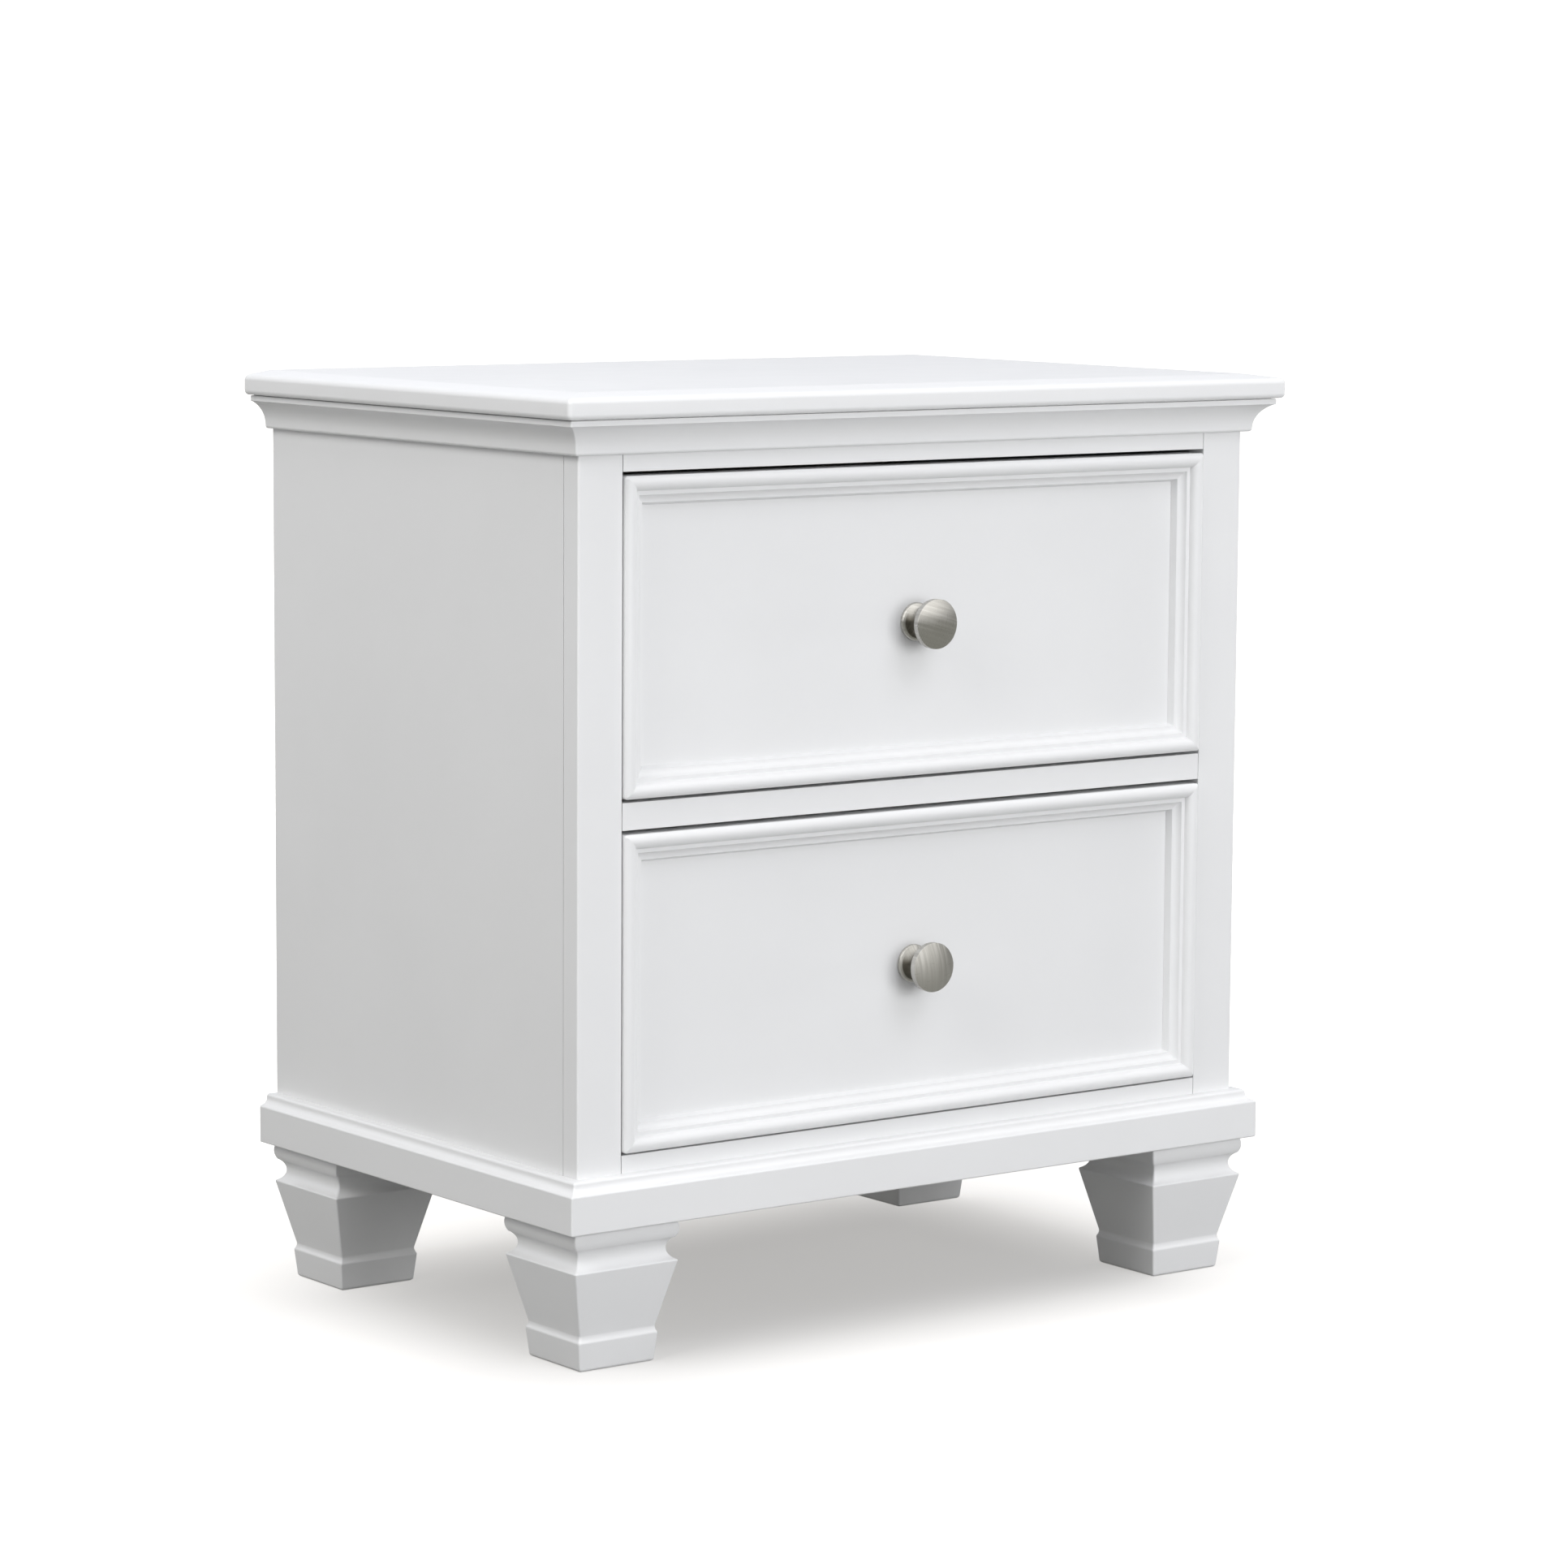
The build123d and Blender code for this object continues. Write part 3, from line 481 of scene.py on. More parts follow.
# ---------------------------------------------------------------- face frame and sides
def corner_outline(pts):
    """An outline from (x, y, radius) corners."""
    out, n = [], len(pts)
    for i, (x, y, r) in enumerate(pts):
        a, b = pts[i - 1], pts[(i + 1) % n]
        if r <= 0:
            out.append((x, y))
            continue
        u, v = (a[0] - x, a[1] - y), (b[0] - x, b[1] - y)
        lu, lv = math.hypot(*u), math.hypot(*v)
        u, v = (u[0] / lu, u[1] / lu), (v[0] / lv, v[1] / lv)
        s, e = (x + u[0] * r, y + u[1] * r), (x + v[0] * r, y + v[1] * r)
        c = (x + (u[0] + v[0]) * r, y + (u[1] + v[1]) * r)
        m = (c[0] - (u[0] + v[0]) * r / math.sqrt(2), c[1] - (u[1] + v[1]) * r / math.sqrt(2))
        out += [s] + arc(s, m, e, 4)
    return out


SEAM = 0.25      # half the fine open seam between two boards of the carcass
for side, s in (("left", -1), ("right", 1)):
    bm = bmesh.new()
    outline = corner_outline([(s * HALF, FRONT, 1.6), (s * OPEN_HW, FRONT, 0.5), (s * OPEN_HW, FRAME_BACK, 0.3), (s * HALF, FRAME_BACK - SEAM, 0.25)])
    prism(bm, outline, FOOT_H, TOP_Z0)
    piece(f"painted_stile_{side}", bm, PAINT[2], "cabinet", [f"stile_{side}"])
    bm = bmesh.new()
    outline = corner_outline([(s * HALF, FRAME_BACK + SEAM, 0.25), (s * INNER, FRAME_BACK, 0.3), (s * INNER, BACK_IN, 0.0), (s * (INNER + 9), BACK_IN, 0.0), (s * (INNER + 9), BACK, 0.4), (s * HALF, BACK, 0.8)])
    prism(bm, outline, FOOT_H, TOP_Z0)
    piece(f"painted_side_{side}", bm, PAINT[2], "cabinet", [f"side_panel_{side}"])

for name, (z0, z1) in (("rail_top", (685.8, TOP_Z0)), ("rail_middle", (414.6, 435.7)), ("rail_bottom", (FOOT_H, 165.2))):
    bm = bmesh.new()
    board(bm, (-OPEN_HW + 2 * SEAM, FRONT, z0), (OPEN_HW - 2 * SEAM, FRAME_BACK, z1), 0.3)
    piece(f"painted_{name}", bm, PAINT[0], "cabinet", [name])

# ---------------------------------------------------------------- feet
FEET = {"front_left": (-288.2, -165.5), "front_right": (288.2, -165.5), "back_left": (-288.2, 176.9), "back_right": (288.2, 176.9)}
foot_sec = section(FOOT, 10)
for name, (fx, fy) in FEET.items():
    bm = bmesh.new()
    rings = []
    for h, z in foot_sec:
        rho = 1.4
        ring = []
        for qx, qy, start in ((1, 1, 0), (-1, 1, 90), (-1, -1, 180), (1, -1, 270)):
            for k in range(5):
                a = math.radians(start + 22.5 * k)
                ring.append((fx + qx * (h - rho) + rho * math.cos(a), fy + qy * (h - rho) + rho * math.sin(a), z))
        rings.append(ring)
    loft(bm, rings)
    piece(f"painted_foot_{name}", bm, PAINT[2], "cabinet", [f"foot_{name}"], sharp=30.0)

# ---------------------------------------------------------------- back, bottom and inner frame
bm = bmesh.new()
board(bm, (-322.0, BACK_IN, 114.7), (322.0, BACK - 0.05, 724.8), 0.4, 2)
piece("faced_back_panel", bm, BOARD, "cabinet", ["back_panel"])
bm = bmesh.new()
board(bm, (-INNER, FRAME_BACK, 141.0), (INNER, 208.0, 153.0), 0.4, 2)
piece("faced_bottom_panel", bm, BOARD, "cabinet", ["bottom_panel"])
bm = bmesh.new()
board(bm, (-INNER, 208.0, FOOT_H), (INNER, BACK_IN, 153.0), 0.8)
piece("wood_base_back", bm, RAW[0], "cabinet", ["base_back"])
for name, y0 in (("front", FRAME_BACK), ("back", BACK_IN - 70)):
    bm = bmesh.new()
    board(bm, (-INNER, y0, TOP_Z0 - 18), (INNER, y0 + 70, TOP_Z0), 0.8)
    piece(f"wood_top_stretcher_{name}", bm, RAW[0], "cabinet", [f"top_stretcher_{name}"])
bm = bmesh.new()
for fx, fy in FEET.values():
    s = 1 if fx > 0 else -1
    y0 = FRAME_BACK if fy < 0 else 148.0
    xs = sorted((s * INNER, s * (INNER - 60)))
    board(bm, (xs[0], y0, FOOT_H), (xs[1], y0 + 60, FOOT_H + 20), 0.8)
piece("wood_corner_blocks", bm, RAW[1], "cabinet", ["corner_blocks"])
bm = bmesh.new()
for level in LEVELS:
    zc = BOX_Z0[level] + SLIDE_UP
    for s in (-1, 1):
        xs = sorted((s * OPEN_HW, s * INNER))
        board(bm, (xs[0], FRAME_BACK, zc - 30), (xs[1], 208.0, zc + 30), 0.8)
piece("wood_slide_packers", bm, RAW[1], "cabinet", ["slide_packers"])


# ---------------------------------------------------------------- screws, bolts and nuts
def driven_head(name, hr, hh, flat=False):
    """A screw head with a cross recess, its seat at z 0 and its top at z hh (mm), as a mesh."""
    b = bmesh.new()
    if flat:
        pts = [(0, 0), (hr - 0.15, 0), (hr, 0.15), (hr, hh - 0.15), (hr - 0.15, hh), (0, hh)]
    else:
        pts = [(0, 0), (hr - 0.1, 0), (hr, 0.12)] + [(hr * math.cos(a) ** 0.8, 0.12 + (hh - 0.12) * math.sin(a)) for a in (math.radians(d) for d in (15, 30, 45, 60, 75))] + [(0, hh)]
    lathe(b, pts, lambda x, y, d: (x, y, d), 40)
    bmesh.ops.recalc_face_normals(b, faces=b.faces)
    me = bpy.data.meshes.new(name + "_blank")
    b.to_mesh(me)
    b.free()
    blank = bpy.data.objects.new(name + "_blank", me)
    c = bmesh.new()
    for turn in (0, 1):
        made = bmesh.ops.create_cube(c, size=1.0)["verts"]
        length, width, depth = hr * 1.15, hr * 0.24, hh * 0.75
        for v in made:
            f = 0.72 if v.co.z < 0 else 1.0
            x, y, z = v.co.x * length * f, v.co.y * width * f, hh + 0.3 + (v.co.z - 0.5) * (depth + 0.3)
            v.co = Vector((x, y, z) if turn == 0 else (-y, x, z)) * MM
    cutter_me = bpy.data.meshes.new(name + "_cross")
    c.to_mesh(cutter_me)
    c.free()
    cutter = bpy.data.objects.new(name + "_cross", cutter_me)
    for o in (blank, cutter):
        bpy.context.scene.collection.objects.link(o)
    cut = blank.modifiers.new("cross", "BOOLEAN")
    cut.operation, cut.solver, cut.use_self, cut.object = "DIFFERENCE", "EXACT", True, cutter
    dg = bpy.context.evaluated_depsgraph_get()
    made = bpy.data.meshes.new_from_object(blank.evaluated_get(dg))
    for o in (blank, cutter):
        bpy.data.objects.remove(o)
    return made


def place_mesh(bm, me, matrix):
    before = len(bm.verts)
    bm.from_mesh(me)
    bm.verts.ensure_lookup_table()
    for v in bm.verts[before:]:
        v.co = matrix @ v.co


def shank(bm, p, q, r, n=20):
    """A round bar from p to q (mm), with a short tapered tip at q."""
    p, q = Vector(p), Vector(q)
    axis = (q - p).normalized()
    side = axis.orthogonal().normalized()
    other = axis.cross(side)
    length = (q - p).length
    pts = [(0, 0), (r, 0), (r, length - 1.2 * r), (0.35 * r, length), (0, length)]
    lathe(bm, pts, lambda x, y, d: tuple(p + side * x + other * y + axis * d), n)


def towards(p, direction, spin):
    """The matrix that stands a head at p (mm) with its top towards a direction, turned by spin degrees."""
    z = Vector(direction).normalized()
    return Matrix.Translation(Vector(p) * MM) @ z.to_track_quat("Z", "Y").to_matrix().to_4x4() @ Matrix.Rotation(math.radians(spin), 4, "Z")


PAN_35 = driven_head("pan_small", 3.5, 1.4)
PAN_40 = driven_head("pan_middle", 4.0, 2.2)
PAN_42 = driven_head("pan_knob", 4.2, 2.6)
FLUSH_32 = driven_head("flush_small", 3.2, 1.8, True)

bm = bmesh.new()
for k, (x, y) in enumerate([(x, y) for y in (FRAME_BACK + 35, BACK_IN - 35) for x in (-230, -80, 80, 230)]):
    place_mesh(bm, PAN_40, towards((x, y, TOP_Z0 - 18), (0, 0, -1), 37 * k))
    shank(bm, (x, y, TOP_Z0 - 18), (x, y, TOP_Z0 + 12), 2.0)
piece("steel_top_screws", bm, SCREW, "cabinet", ["top_screws"])

bm = bmesh.new()
back_screws = [(s * (INNER + 4.5), z) for s in (-1, 1) for z in (160, 300, 440, 580, 700)] + [(x, z) for z in (131.7, 718.0) for x in (-200, 0, 200)]
for k, (x, z) in enumerate(back_screws):
    place_mesh(bm, FLUSH_32, towards((x, BACK - 1.8, z), (0, 1, 0), 53 * k))
    shank(bm, (x, BACK - 1.8, z), (x, BACK_IN - 15, z), 1.5)
piece("steel_back_panel_screws", bm, SCREW, "cabinet", ["back_panel_screws"])

bm = bmesh.new()
k = 0
for level in LEVELS:
    zc = BOX_Z0[level] + SLIDE_UP
    for s in (-1, 1):
        for y in SLIDE_SCREW_Y:
            place_mesh(bm, PAN_35, towards((s * (OPEN_HW - 1.2), y, zc), (-s, 0, 0), 41 * k))
            shank(bm, (s * (OPEN_HW - 1.2), y, zc), (s * (OPEN_HW + 16), y, zc), 1.75)
            k += 1
piece("steel_slide_screws", bm, SCREW, "cabinet", ["slide_screws"])

bm = bmesh.new()
for k, (fx, fy) in enumerate(FEET.values()):
    shank(bm, (fx, fy, 140.4), (fx, fy, FOOT_H - 45), 4.0, 28)
    lathe(bm, [(4.2, 131.7), (9.8, 131.7), (10.0, 131.9), (10.0, 133.1), (9.8, 133.3), (4.2, 133.3), (4.2, 131.7)], lambda x, y, d, fx=fx, fy=fy: (fx + x, fy + y, d), 48)
    turn = math.radians(11 + 23 * k)
    flat = 6.5 / math.cos(math.pi / 6)
    hexes = []
    for inset, z in ((0.6, 133.3), (0.0, 133.8), (0.0, 139.2), (0.6, 139.7)):
        hexes.append([(fx + (flat - inset) * math.cos(turn + math.tau * j / 6), fy + (flat - inset) * math.sin(turn + math.tau * j / 6), z) for j in range(6)])
    loft(bm, hexes)
piece("steel_foot_bolts", bm, SCREW, "cabinet", ["foot_bolts"])


# ---------------------------------------------------------------- drawer slides
def channel(web0, web1, lip, h, t):
    """Section of a rolled channel: web from web0 to web1, flanges out to lip, height h, sheet t; (out from the packer, height)."""
    pts = [(web0, -h / 2), (lip, -h / 2), (lip, -h / 2 + t), (web1, -h / 2 + t), (web1, h / 2 - t), (lip, h / 2 - t), (lip, h / 2), (web0, h / 2)]
    out = []
    for i, p in enumerate(pts):
        r = 1.5 if i in (0, 7) else 0.35 if i in (3, 4) else 0.4
        a, b = pts[i - 1], pts[(i + 1) % len(pts)]
        tri = ease([a, p, b], r, 4, closed=False)
        out += tri[1:-1]
    return out


def slide_run(bm, sec, s, zc):
    rings = []
    for d, inset in ((0.0, 0.25), (0.25, 0.0), (SLIDE_LEN - 0.25, 0.0), (SLIDE_LEN, 0.25)):
        rings.append([(s * (OPEN_HW - x), SLIDE_Y0 + d, zc + z) for x, z in sec])
    loft(bm, rings)


OUTER = channel(0.0, 1.2, 9.6, 45.0, 1.2)
MIDDLE = channel(3.2, 4.4, 11.0, 41.8, 1.2)
INNER_CH = channel(12.7, 11.5, 5.0, 38.6, 1.2)
bm = bmesh.new()
for level in LEVELS:
    for s in (-1, 1):
        slide_run(bm, OUTER, s, BOX_Z0[level] + SLIDE_UP)
piece("steel_slide_cabinet_rails", bm, ZINC, "cabinet", ["slide_cabinet_rails"])

# ---------------------------------------------------------------- drawers
mould_sec = ease(section(MOULD, 9), 0.3, 3, least=40.0)
CORNER_R = 2.4
STEPS = [math.radians(a) for a in (0, 11.25, 22.5, 33.75, 45)]


def mould_rings(z0, z1, side):
    """Rings of one length of drawer-front moulding; the front's own corners are a little rounded."""
    hw, mid, hh = FRONT_HW, (z0 + z1) / 2, (z1 - z0) / 2
    rings = []
    for end, order in ((-1, STEPS[::-1]), (1, STEPS)):
        for a in order:
            ring = []
            for t, q in mould_sec:
                if side in ("top", "bottom"):
                    reach, level = hw, hh
                else:
                    reach, level = hh, hw
                if t < CORNER_R:
                    rho = CORNER_R - t
                    u, w = reach - CORNER_R + rho * math.sin(a), level - CORNER_R + rho * math.cos(a)
                else:
                    u, w = reach - t, level - t
                if side == "left":
                    w += FRONT_OUT
                elif end < 0 and side in ("top", "bottom"):
                    u += FRONT_OUT
                u *= end
                if side == "top":
                    ring.append((u, FRONT - q, mid + w))
                elif side == "bottom":
                    ring.append((u, FRONT - q, mid - w))
                elif side == "left":
                    ring.append((-w, FRONT - q, mid + u))
                else:
                    ring.append((w, FRONT - q, mid + u))
            rings.append(ring)
    return rings


dome_r = (DOME_EDGE**2 + DOME_RISE**2) / (2 * DOME_RISE)
dome_a = math.asin(DOME_EDGE / dome_r)
knob_pts = section(KNOB, 10)
knob_pts = [knob_pts[0]] + ease(knob_pts[1:], 0.25, 3, closed=False)
knob_pts += [(dome_r * math.sin(dome_a * (1 - k / 16)), KNOB_OUT - dome_r + dome_r * math.cos(dome_a * (1 - k / 16))) for k in range(1, 17)]

for level in LEVELS:
    body = f"{level}_drawer"
    z0, z1 = FRONT_Z[level]
    b0 = BOX_Z0[level]
    zc, zk = b0 + SLIDE_UP, KNOB_Z[level]

    for side in ("top", "bottom", "left", "right"):
        bm = bmesh.new()
        loft(bm, mould_rings(z0, z1, side))
        piece(f"painted_{level}_moulding_{side}", bm, PAINT[0] if side in ("top", "bottom") else PAINT[2], body, [f"{level}_front_moulding_{side}"])
    bm = bmesh.new()
    board(bm, (-FRONT_HW + 14, PANEL_Y, z0 + 14), (FRONT_HW - 14, BOX_Y0, z1 - 14), 0.2, 1)
    piece(f"painted_{level}_panel", bm, PAINT[0], body, [f"{level}_front_panel"])

    bm = bmesh.new()
    board(bm, (-BOX_IN, BOX_Y0, b0), (BOX_IN, BOX_Y0 + 12, b0 + BOX_H), 1.2)
    piece(f"wood_{level}_box_front", bm, BOX_WOOD[0], body, [f"{level}_box_front"])
    for side, s in (("left", -1), ("right", 1)):
        xs = sorted((s * BOX_HW, s * BOX_IN))
        bm = bmesh.new()
        board(bm, (xs[0], BOX_Y0, b0), (xs[1], BOX_Y1, b0 + BOX_H), 1.4)
        piece(f"wood_{level}_box_{side}", bm, BOX_WOOD[1], body, [f"{level}_box_{side}"])
    bm = bmesh.new()
    board(bm, (-BOX_IN, BOX_Y1 - 12, b0 + 12), (BOX_IN, BOX_Y1, b0 + BOX_H), 1.2)
    piece(f"wood_{level}_box_back", bm, BOX_WOOD[0], body, [f"{level}_box_back"])
    bm = bmesh.new()
    board(bm, (-BOX_IN, BOX_Y0 + 12, b0 + 6), (BOX_IN, BOX_Y1, b0 + 12), 0.3, 2)
    piece(f"wood_{level}_box_bottom", bm, PLY, body, [f"{level}_box_bottom"])

    bm = bmesh.new()
    for s in (-1, 1):
        slide_run(bm, INNER_CH, s, zc)
    piece(f"steel_{level}_slide_drawer_rails", bm, ZINC, body, [f"{level}_slide_drawer_rails"])
    bm = bmesh.new()
    for s in (-1, 1):
        slide_run(bm, MIDDLE, s, zc)
    piece(f"steel_{level}_slide_middles", bm, ZINC, f"{level}_slide", [f"{level}_slide_middles"])

    bm = bmesh.new()
    k = 0
    for x in (-180, 180):
        for dz in (50, 150):
            place_mesh(bm, PAN_40, towards((x, BOX_Y0 + 12, b0 + dz), (0, 1, 0), 29 * k))
            shank(bm, (x, BOX_Y0 + 12, b0 + dz), (x, BOX_Y0 - 5, b0 + dz), 2.0)
            k += 1
    for s in (-1, 1):
        for y in SLIDE_SCREW_Y:
            place_mesh(bm, PAN_35, towards((s * (BOX_HW + 1.2), y, zc), (s, 0, 0), 47 * k))
            shank(bm, (s * (BOX_HW + 1.2), y, zc), (s * (BOX_HW - 10), y, zc), 1.75)
            k += 1
    piece(f"steel_{level}_drawer_screws", bm, SCREW, body, [f"{level}_drawer_screws"])

    bm = bmesh.new()
    lathe(bm, knob_pts, lambda x, y, d, zk=zk: (x, PANEL_Y - d, zk + y), 96)
    knob = piece(f"nickel_{level}_knob", bm, NICKEL[level], body, [f"{level}_knob"])
    # u runs across the brush lines, so that highlights stretch across them
    turn = BRUSH[level] + math.pi / 2
    uv = knob.data.uv_layers.new(name="brush")
    for loop in knob.data.loops:
        co = knob.data.vertices[loop.vertex_index].co
        x, z = co.x, co.z - zk * MM
        uv.data[loop.index].uv = ((x * math.cos(turn) - z * math.sin(turn)) * 20 + 0.5, (x * math.sin(turn) + z * math.cos(turn)) * 20 + 0.5)
    bm = bmesh.new()
    place_mesh(bm, PAN_42, towards((0, BOX_Y0 + 12, zk), (0, 1, 0), 20))
    shank(bm, (0, BOX_Y0 + 12, zk), (0, PANEL_Y - 12, zk), 2.0)
    piece(f"steel_{level}_knob_bolt", bm, SCREW, body, [f"{level}_knob_bolt"])

# ---------------------------------------------------------------- floor, light and camera
bpy.ops.mesh.primitive_plane_add(size=60, location=(0, 0, 0))
floor = bpy.context.object
floor.name = "floor"
m = bpy.data.materials.new("pale_floor")
m.use_nodes = True
nt = m.node_tree
nt.nodes.clear()
out = nt.nodes.new("ShaderNodeOutputMaterial")
path = nt.nodes.new("ShaderNodeLightPath")
seen = nt.nodes.new("ShaderNodeBsdfDiffuse")
seen.inputs["Color"].default_value = (0.34, 0.338, 0.336, 1)
lit = nt.nodes.new("ShaderNodeBsdfDiffuse")
lit.inputs["Color"].default_value = (0.30, 0.30, 0.30, 1)
# painted shadow: for camera rays the floor glows white, and the glow is cut down in a soft-edged oblong under the part
glow_with_painted_shadow = nt.nodes.new("ShaderNodeEmission")
glow_with_painted_shadow.inputs["Color"].default_value = (1.0, 0.985, 0.965, 1)
at = nt.nodes.new("ShaderNodeTexCoord").outputs["Object"]
for how, by in (("SUBTRACT", (-0.022, -0.020, 0.0)), ("ABSOLUTE", None), ("SUBTRACT", (0.221, 0.108, 0.0)), ("MAXIMUM", (0.0, 0.0, 0.0)), ("LENGTH", None)):
    v = nt.nodes.new("ShaderNodeVectorMath")
    v.operation = how
    nt.links.new(at, v.inputs[0])
    if by:
        v.inputs[1].default_value = by
    at = v.outputs["Value" if how == "LENGTH" else "Vector"]
painted_shadow_oblong = nt.nodes.new("ShaderNodeMapRange")
painted_shadow_oblong.interpolation_type = "SMOOTHSTEP"
painted_shadow_oblong.inputs["From Min"].default_value, painted_shadow_oblong.inputs["From Max"].default_value = 0.0, 0.245
painted_shadow_oblong.inputs["To Min"].default_value, painted_shadow_oblong.inputs["To Max"].default_value = 0.39, 0.80
nt.links.new(at, painted_shadow_oblong.inputs["Value"])
far = nt.nodes.new("ShaderNodeMapRange")
far.interpolation_type = "SMOOTHSTEP"
far.inputs["From Min"].default_value, far.inputs["From Max"].default_value = 0.20, 0.80
far.inputs["To Min"].default_value, far.inputs["To Max"].default_value = 0.0, 0.45
nt.links.new(at, far.inputs["Value"])
total = nt.nodes.new("ShaderNodeMath")
total.operation = "ADD"
nt.links.new(painted_shadow_oblong.outputs["Result"], total.inputs[0])
nt.links.new(far.outputs["Result"], total.inputs[1])
nt.links.new(total.outputs[0], glow_with_painted_shadow.inputs["Strength"])
# painted shade: for rays other than the camera's the floor is darker near the part, so it throws less light back onto
# it
painted_shade_bounce = nt.nodes.new("ShaderNodeMapRange")
painted_shade_bounce.interpolation_type = "SMOOTHSTEP"
painted_shade_bounce.inputs["From Min"].default_value, painted_shade_bounce.inputs["From Max"].default_value = 0.05, 0.55
painted_shade_bounce.inputs["To Min"].default_value, painted_shade_bounce.inputs["To Max"].default_value = 0.23, 0.33
nt.links.new(at, painted_shade_bounce.inputs["Value"])
nt.links.new(painted_shade_bounce.outputs["Result"], lit.inputs["Color"])
add = nt.nodes.new("ShaderNodeAddShader")
nt.links.new(seen.outputs[0], add.inputs[0])
nt.links.new(glow_with_painted_shadow.outputs[0], add.inputs[1])
first = nt.nodes.new("ShaderNodeMixShader")
nt.links.new(path.outputs["Is Camera Ray"], first.inputs["Fac"])
nt.links.new(lit.outputs[0], first.inputs[1])
nt.links.new(add.outputs[0], first.inputs[2])
dim = nt.nodes.new("ShaderNodeEmission")
dim.inputs["Color"].default_value = (0.37, 0.37, 0.34, 1)
mix = nt.nodes.new("ShaderNodeMixShader")
nt.links.new(path.outputs["Is Glossy Ray"], mix.inputs["Fac"])
nt.links.new(first.outputs[0], mix.inputs[1])
nt.links.new(dim.outputs[0], mix.inputs[2])
# nothing of it shows from below
facing = nt.nodes.new("ShaderNodeNewGeometry")
gone = nt.nodes.new("ShaderNodeBsdfTransparent")
onesided = nt.nodes.new("ShaderNodeMixShader")
nt.links.new(facing.outputs["Backfacing"], onesided.inputs["Fac"])
nt.links.new(mix.outputs[0], onesided.inputs[1])
nt.links.new(gone.outputs[0], onesided.inputs[2])
nt.links.new(onesided.outputs[0], out.inputs["Surface"])
m.cycles.emission_sampling = "NONE"
floor.data.materials.append(m)

world = bpy.data.worlds.new("studio")
bpy.context.scene.world = world
world.use_nodes = True
nt = world.node_tree
nt.nodes.clear()
out = nt.nodes.new("ShaderNodeOutputWorld")
path = nt.nodes.new("ShaderNodeLightPath")
white = nt.nodes.new("ShaderNodeBackground")
white.inputs["Color"].default_value = (1, 1, 1, 1)
white.inputs["Strength"].default_value = 1.1
fill = nt.nodes.new("ShaderNodeBackground")
fill.inputs["Color"].default_value = (1.0, 0.992, 0.983, 1)
fill.inputs["Strength"].default_value = 0.188
# what shiny surfaces mirror: a pale ceiling over a dark room, paler to the left of the camera
tc = nt.nodes.new("ShaderNodeTexCoord")
axes = nt.nodes.new("ShaderNodeSeparateXYZ")
nt.links.new(tc.outputs["Generated"], axes.inputs["Vector"])


def step(value, a, b, lo, hi):
    m = nt.nodes.new("ShaderNodeMapRange")
    m.interpolation_type = "SMOOTHSTEP"
    m.inputs["From Min"].default_value, m.inputs["From Max"].default_value = a, b
    m.inputs["To Min"].default_value, m.inputs["To Max"].default_value = lo, hi
    nt.links.new(value, m.inputs["Value"])
    return m.outputs["Result"]


def joined(a, b, how):
    j = nt.nodes.new("ShaderNodeMath")
    j.operation = how
    nt.links.new(a, j.inputs[0])
    nt.links.new(b, j.inputs[1])
    return j.outputs[0]


ceiling = step(axes.outputs["Z"], -0.06, 0.34, 0.26, 1.25)
across = ramp(nt, axes.outputs["X"], [(0.0, (1.15,) * 3), (0.50, (1.05,) * 3), (0.60, (0.78,) * 3), (0.67, (1.05,) * 3), (0.75, (0.38,) * 3), (0.82, (0.85,) * 3), (0.89, (0.30,) * 3), (1.0, (0.40,) * 3)])
room = nt.nodes.new("ShaderNodeBackground")
nt.links.new(ramp(nt, step(axes.outputs["Y"], 0.2, 0.7, 0.0, 1.0), [(0.0, (1.0, 0.99, 0.97)), (1.0, (0.90, 0.93, 1.0))]), room.inputs["Color"])
nearer = step(axes.outputs["Y"], -0.1, 0.3, 1.24, 1.0)
nt.links.new(joined(joined(ceiling, across, "MULTIPLY"), nearer, "MULTIPLY"), room.inputs["Strength"])
lamp = nt.nodes.new("ShaderNodeMixShader")
nt.links.new(path.outputs["Is Glossy Ray"], lamp.inputs["Fac"])
nt.links.new(fill.outputs[0], lamp.inputs[1])
nt.links.new(room.outputs[0], lamp.inputs[2])
mix = nt.nodes.new("ShaderNodeMixShader")
nt.links.new(path.outputs["Is Camera Ray"], mix.inputs["Fac"])
nt.links.new(lamp.outputs[0], mix.inputs[1])
nt.links.new(white.outputs[0], mix.inputs[2])
nt.links.new(mix.outputs[0], out.inputs["Surface"])


def soft_box(name, place, aim, size, power, colour):
    d = bpy.data.lights.new(name, "AREA")
    d.shape = "RECTANGLE"
    d.size, d.size_y = size
    d.energy = power
    d.color = colour
    o = bpy.data.objects.new(name, d)
    bpy.context.scene.collection.objects.link(o)
    o.location = place
    o.rotation_euler = (Vector(aim) - Vector(place)).to_track_quat("-Z", "Y").to_euler()
    o.visible_camera = False
    o.visible_glossy = False
    return o


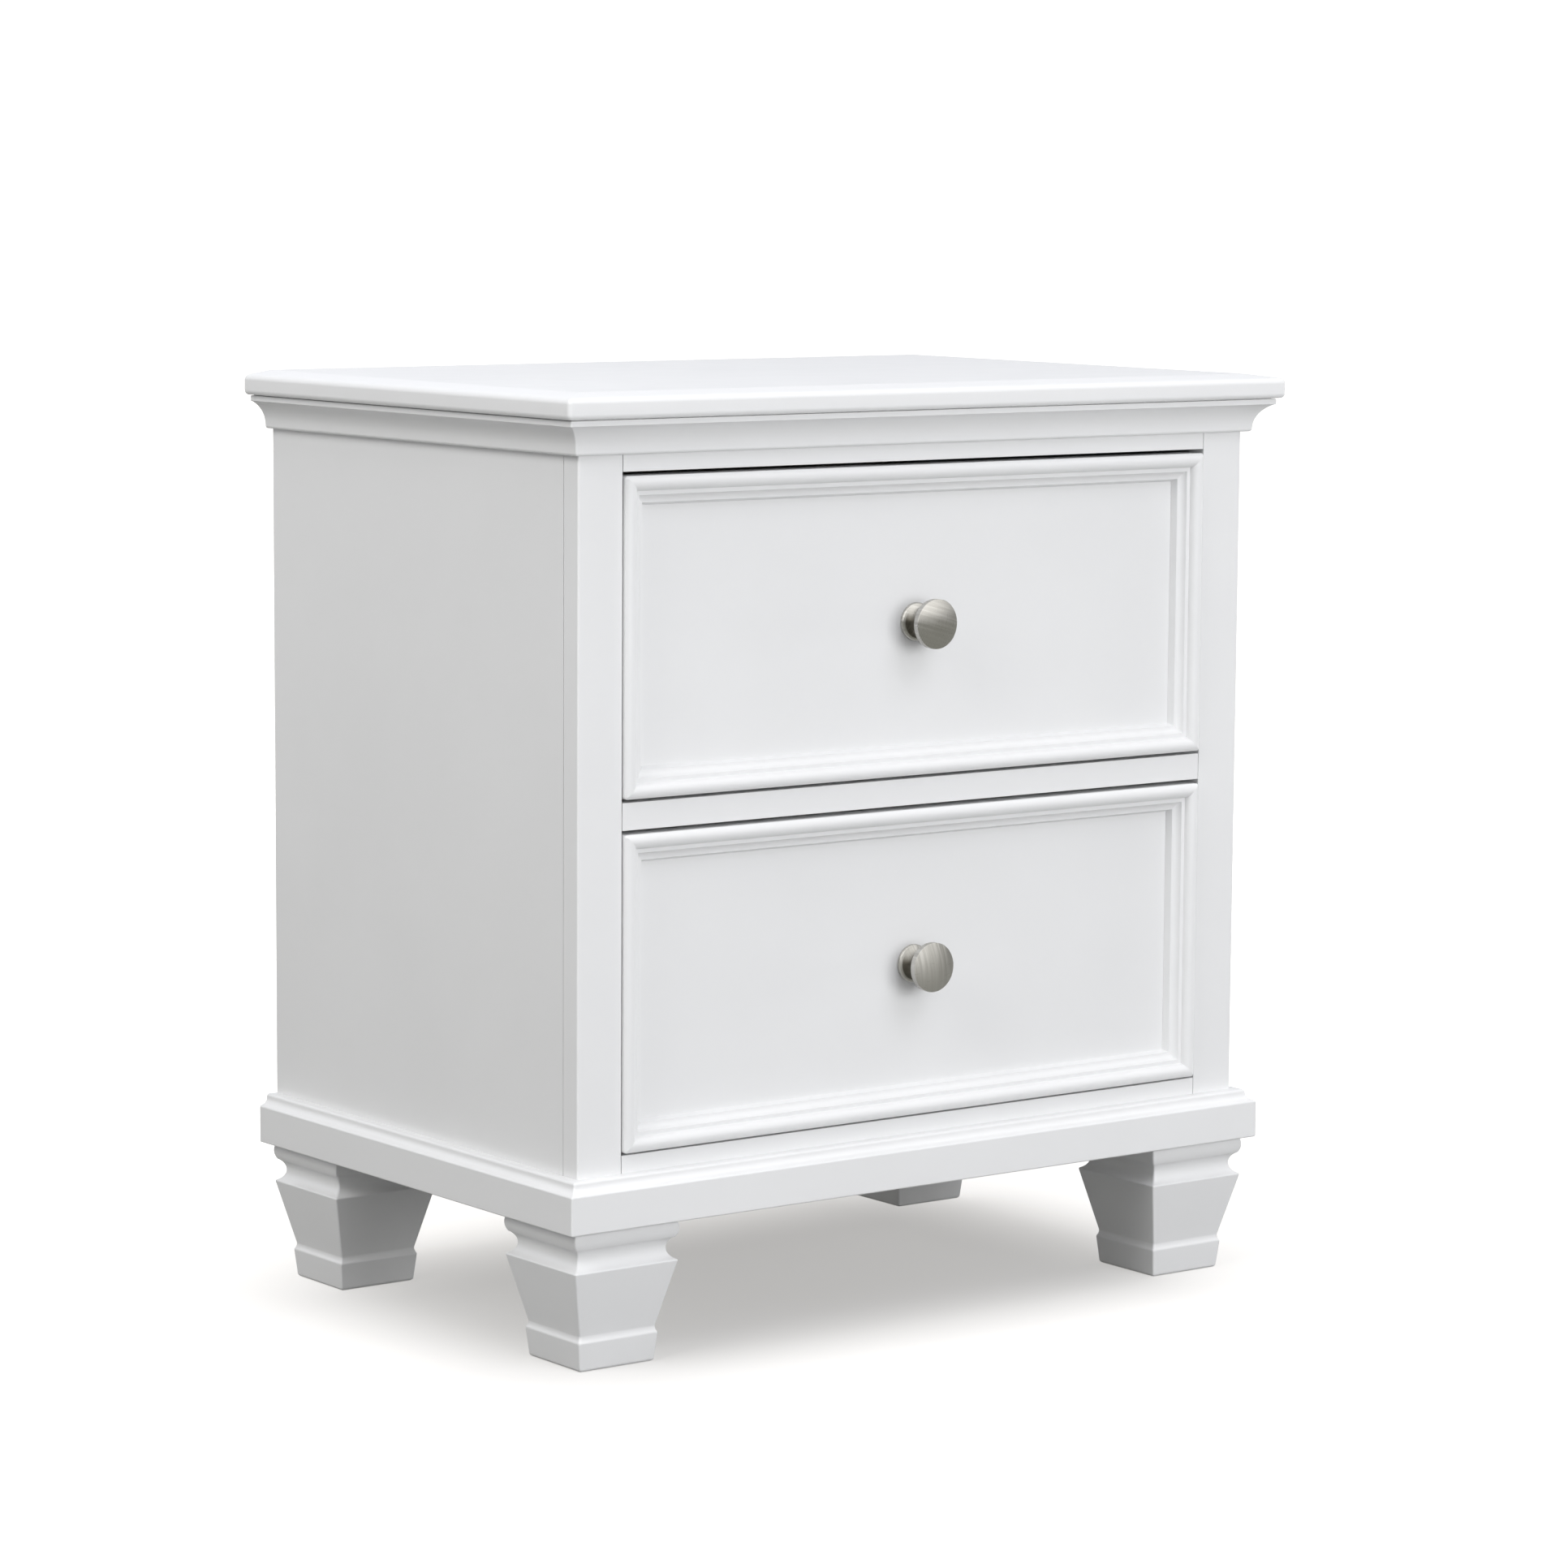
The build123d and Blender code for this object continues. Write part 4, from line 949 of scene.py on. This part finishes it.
soft_box("front", (0.2, -4.0, 1.9), (0.0, 0.0, 0.4), (2.4, 1.8), 20.0, (0.986, 0.99, 1.0))
soft_box("front_low", (0.3, -4.0, 0.9), (0.0, 0.0, 0.35), (2.4, 1.4), 65.0, (0.984, 0.992, 1.0))
soft_box("front_high", (0.6, -4.4, 5.6), (0.0, 0.0, 0.5), (3.6, 3.2), 106.5, (0.933, 0.944, 1.0))
soft_box("left", (-6.0, -0.8, 4.4), (0.0, 0.0, 0.4), (4.4, 4.0), 193.0, (1.0, 0.997, 0.97))
soft_box("overhead_left", (-1.7, -0.3, 2.7), (0.0, 0.0, 0.5), (1.6, 2.4), 29.0, (0.979, 0.978, 1.0))
soft_box("overhead_right", (1.8, -0.2, 2.7), (0.0, 0.0, 0.5), (1.6, 2.4), 15.6, (0.988, 0.985, 1.0))
soft_box("back", (0.2, 3.6, 0.38), (0.0, 0.0, 0.38), (3.2, 0.6), 68.0, (1.0, 0.995, 0.985))
soft_box("right", (3.6, 0.4, 0.38), (0.0, 0.4, 0.38), (3.0, 0.6), 62.0, (1.0, 0.995, 0.985))

yaw, pitch, roll = 0.64231682, 0.12418286, 0.0064018237
place = Vector((-2461.232, -3313.3354, 924.333)) * MM
fwd = Vector((math.sin(yaw) * math.cos(pitch), math.cos(yaw) * math.cos(pitch), -math.sin(pitch)))
right = Vector((math.cos(yaw), -math.sin(yaw), 0.0))
up = right.cross(fwd)
r2 = right * math.cos(roll) + up * math.sin(roll)
u2 = up * math.cos(roll) - right * math.sin(roll)
cam_data = bpy.data.cameras.new("camera")
cam_data.sensor_width = 36.0
cam_data.lens = 6241.56 * 36.0 / 1932.0
cam_data.clip_start, cam_data.clip_end = 0.05, 200.0
cam = bpy.data.objects.new("camera", cam_data)
bpy.context.scene.collection.objects.link(cam)
cam.matrix_world = Matrix(((r2.x, u2.x, -fwd.x, place.x), (r2.y, u2.y, -fwd.y, place.y), (r2.z, u2.z, -fwd.z, place.z), (0, 0, 0, 1)))
bpy.context.scene.camera = cam

scene = bpy.context.scene
scene.view_settings.view_transform = "Standard"
scene.view_settings.look = "None"
scene.view_settings.exposure = 0.0
scene.view_settings.gamma = 1.0
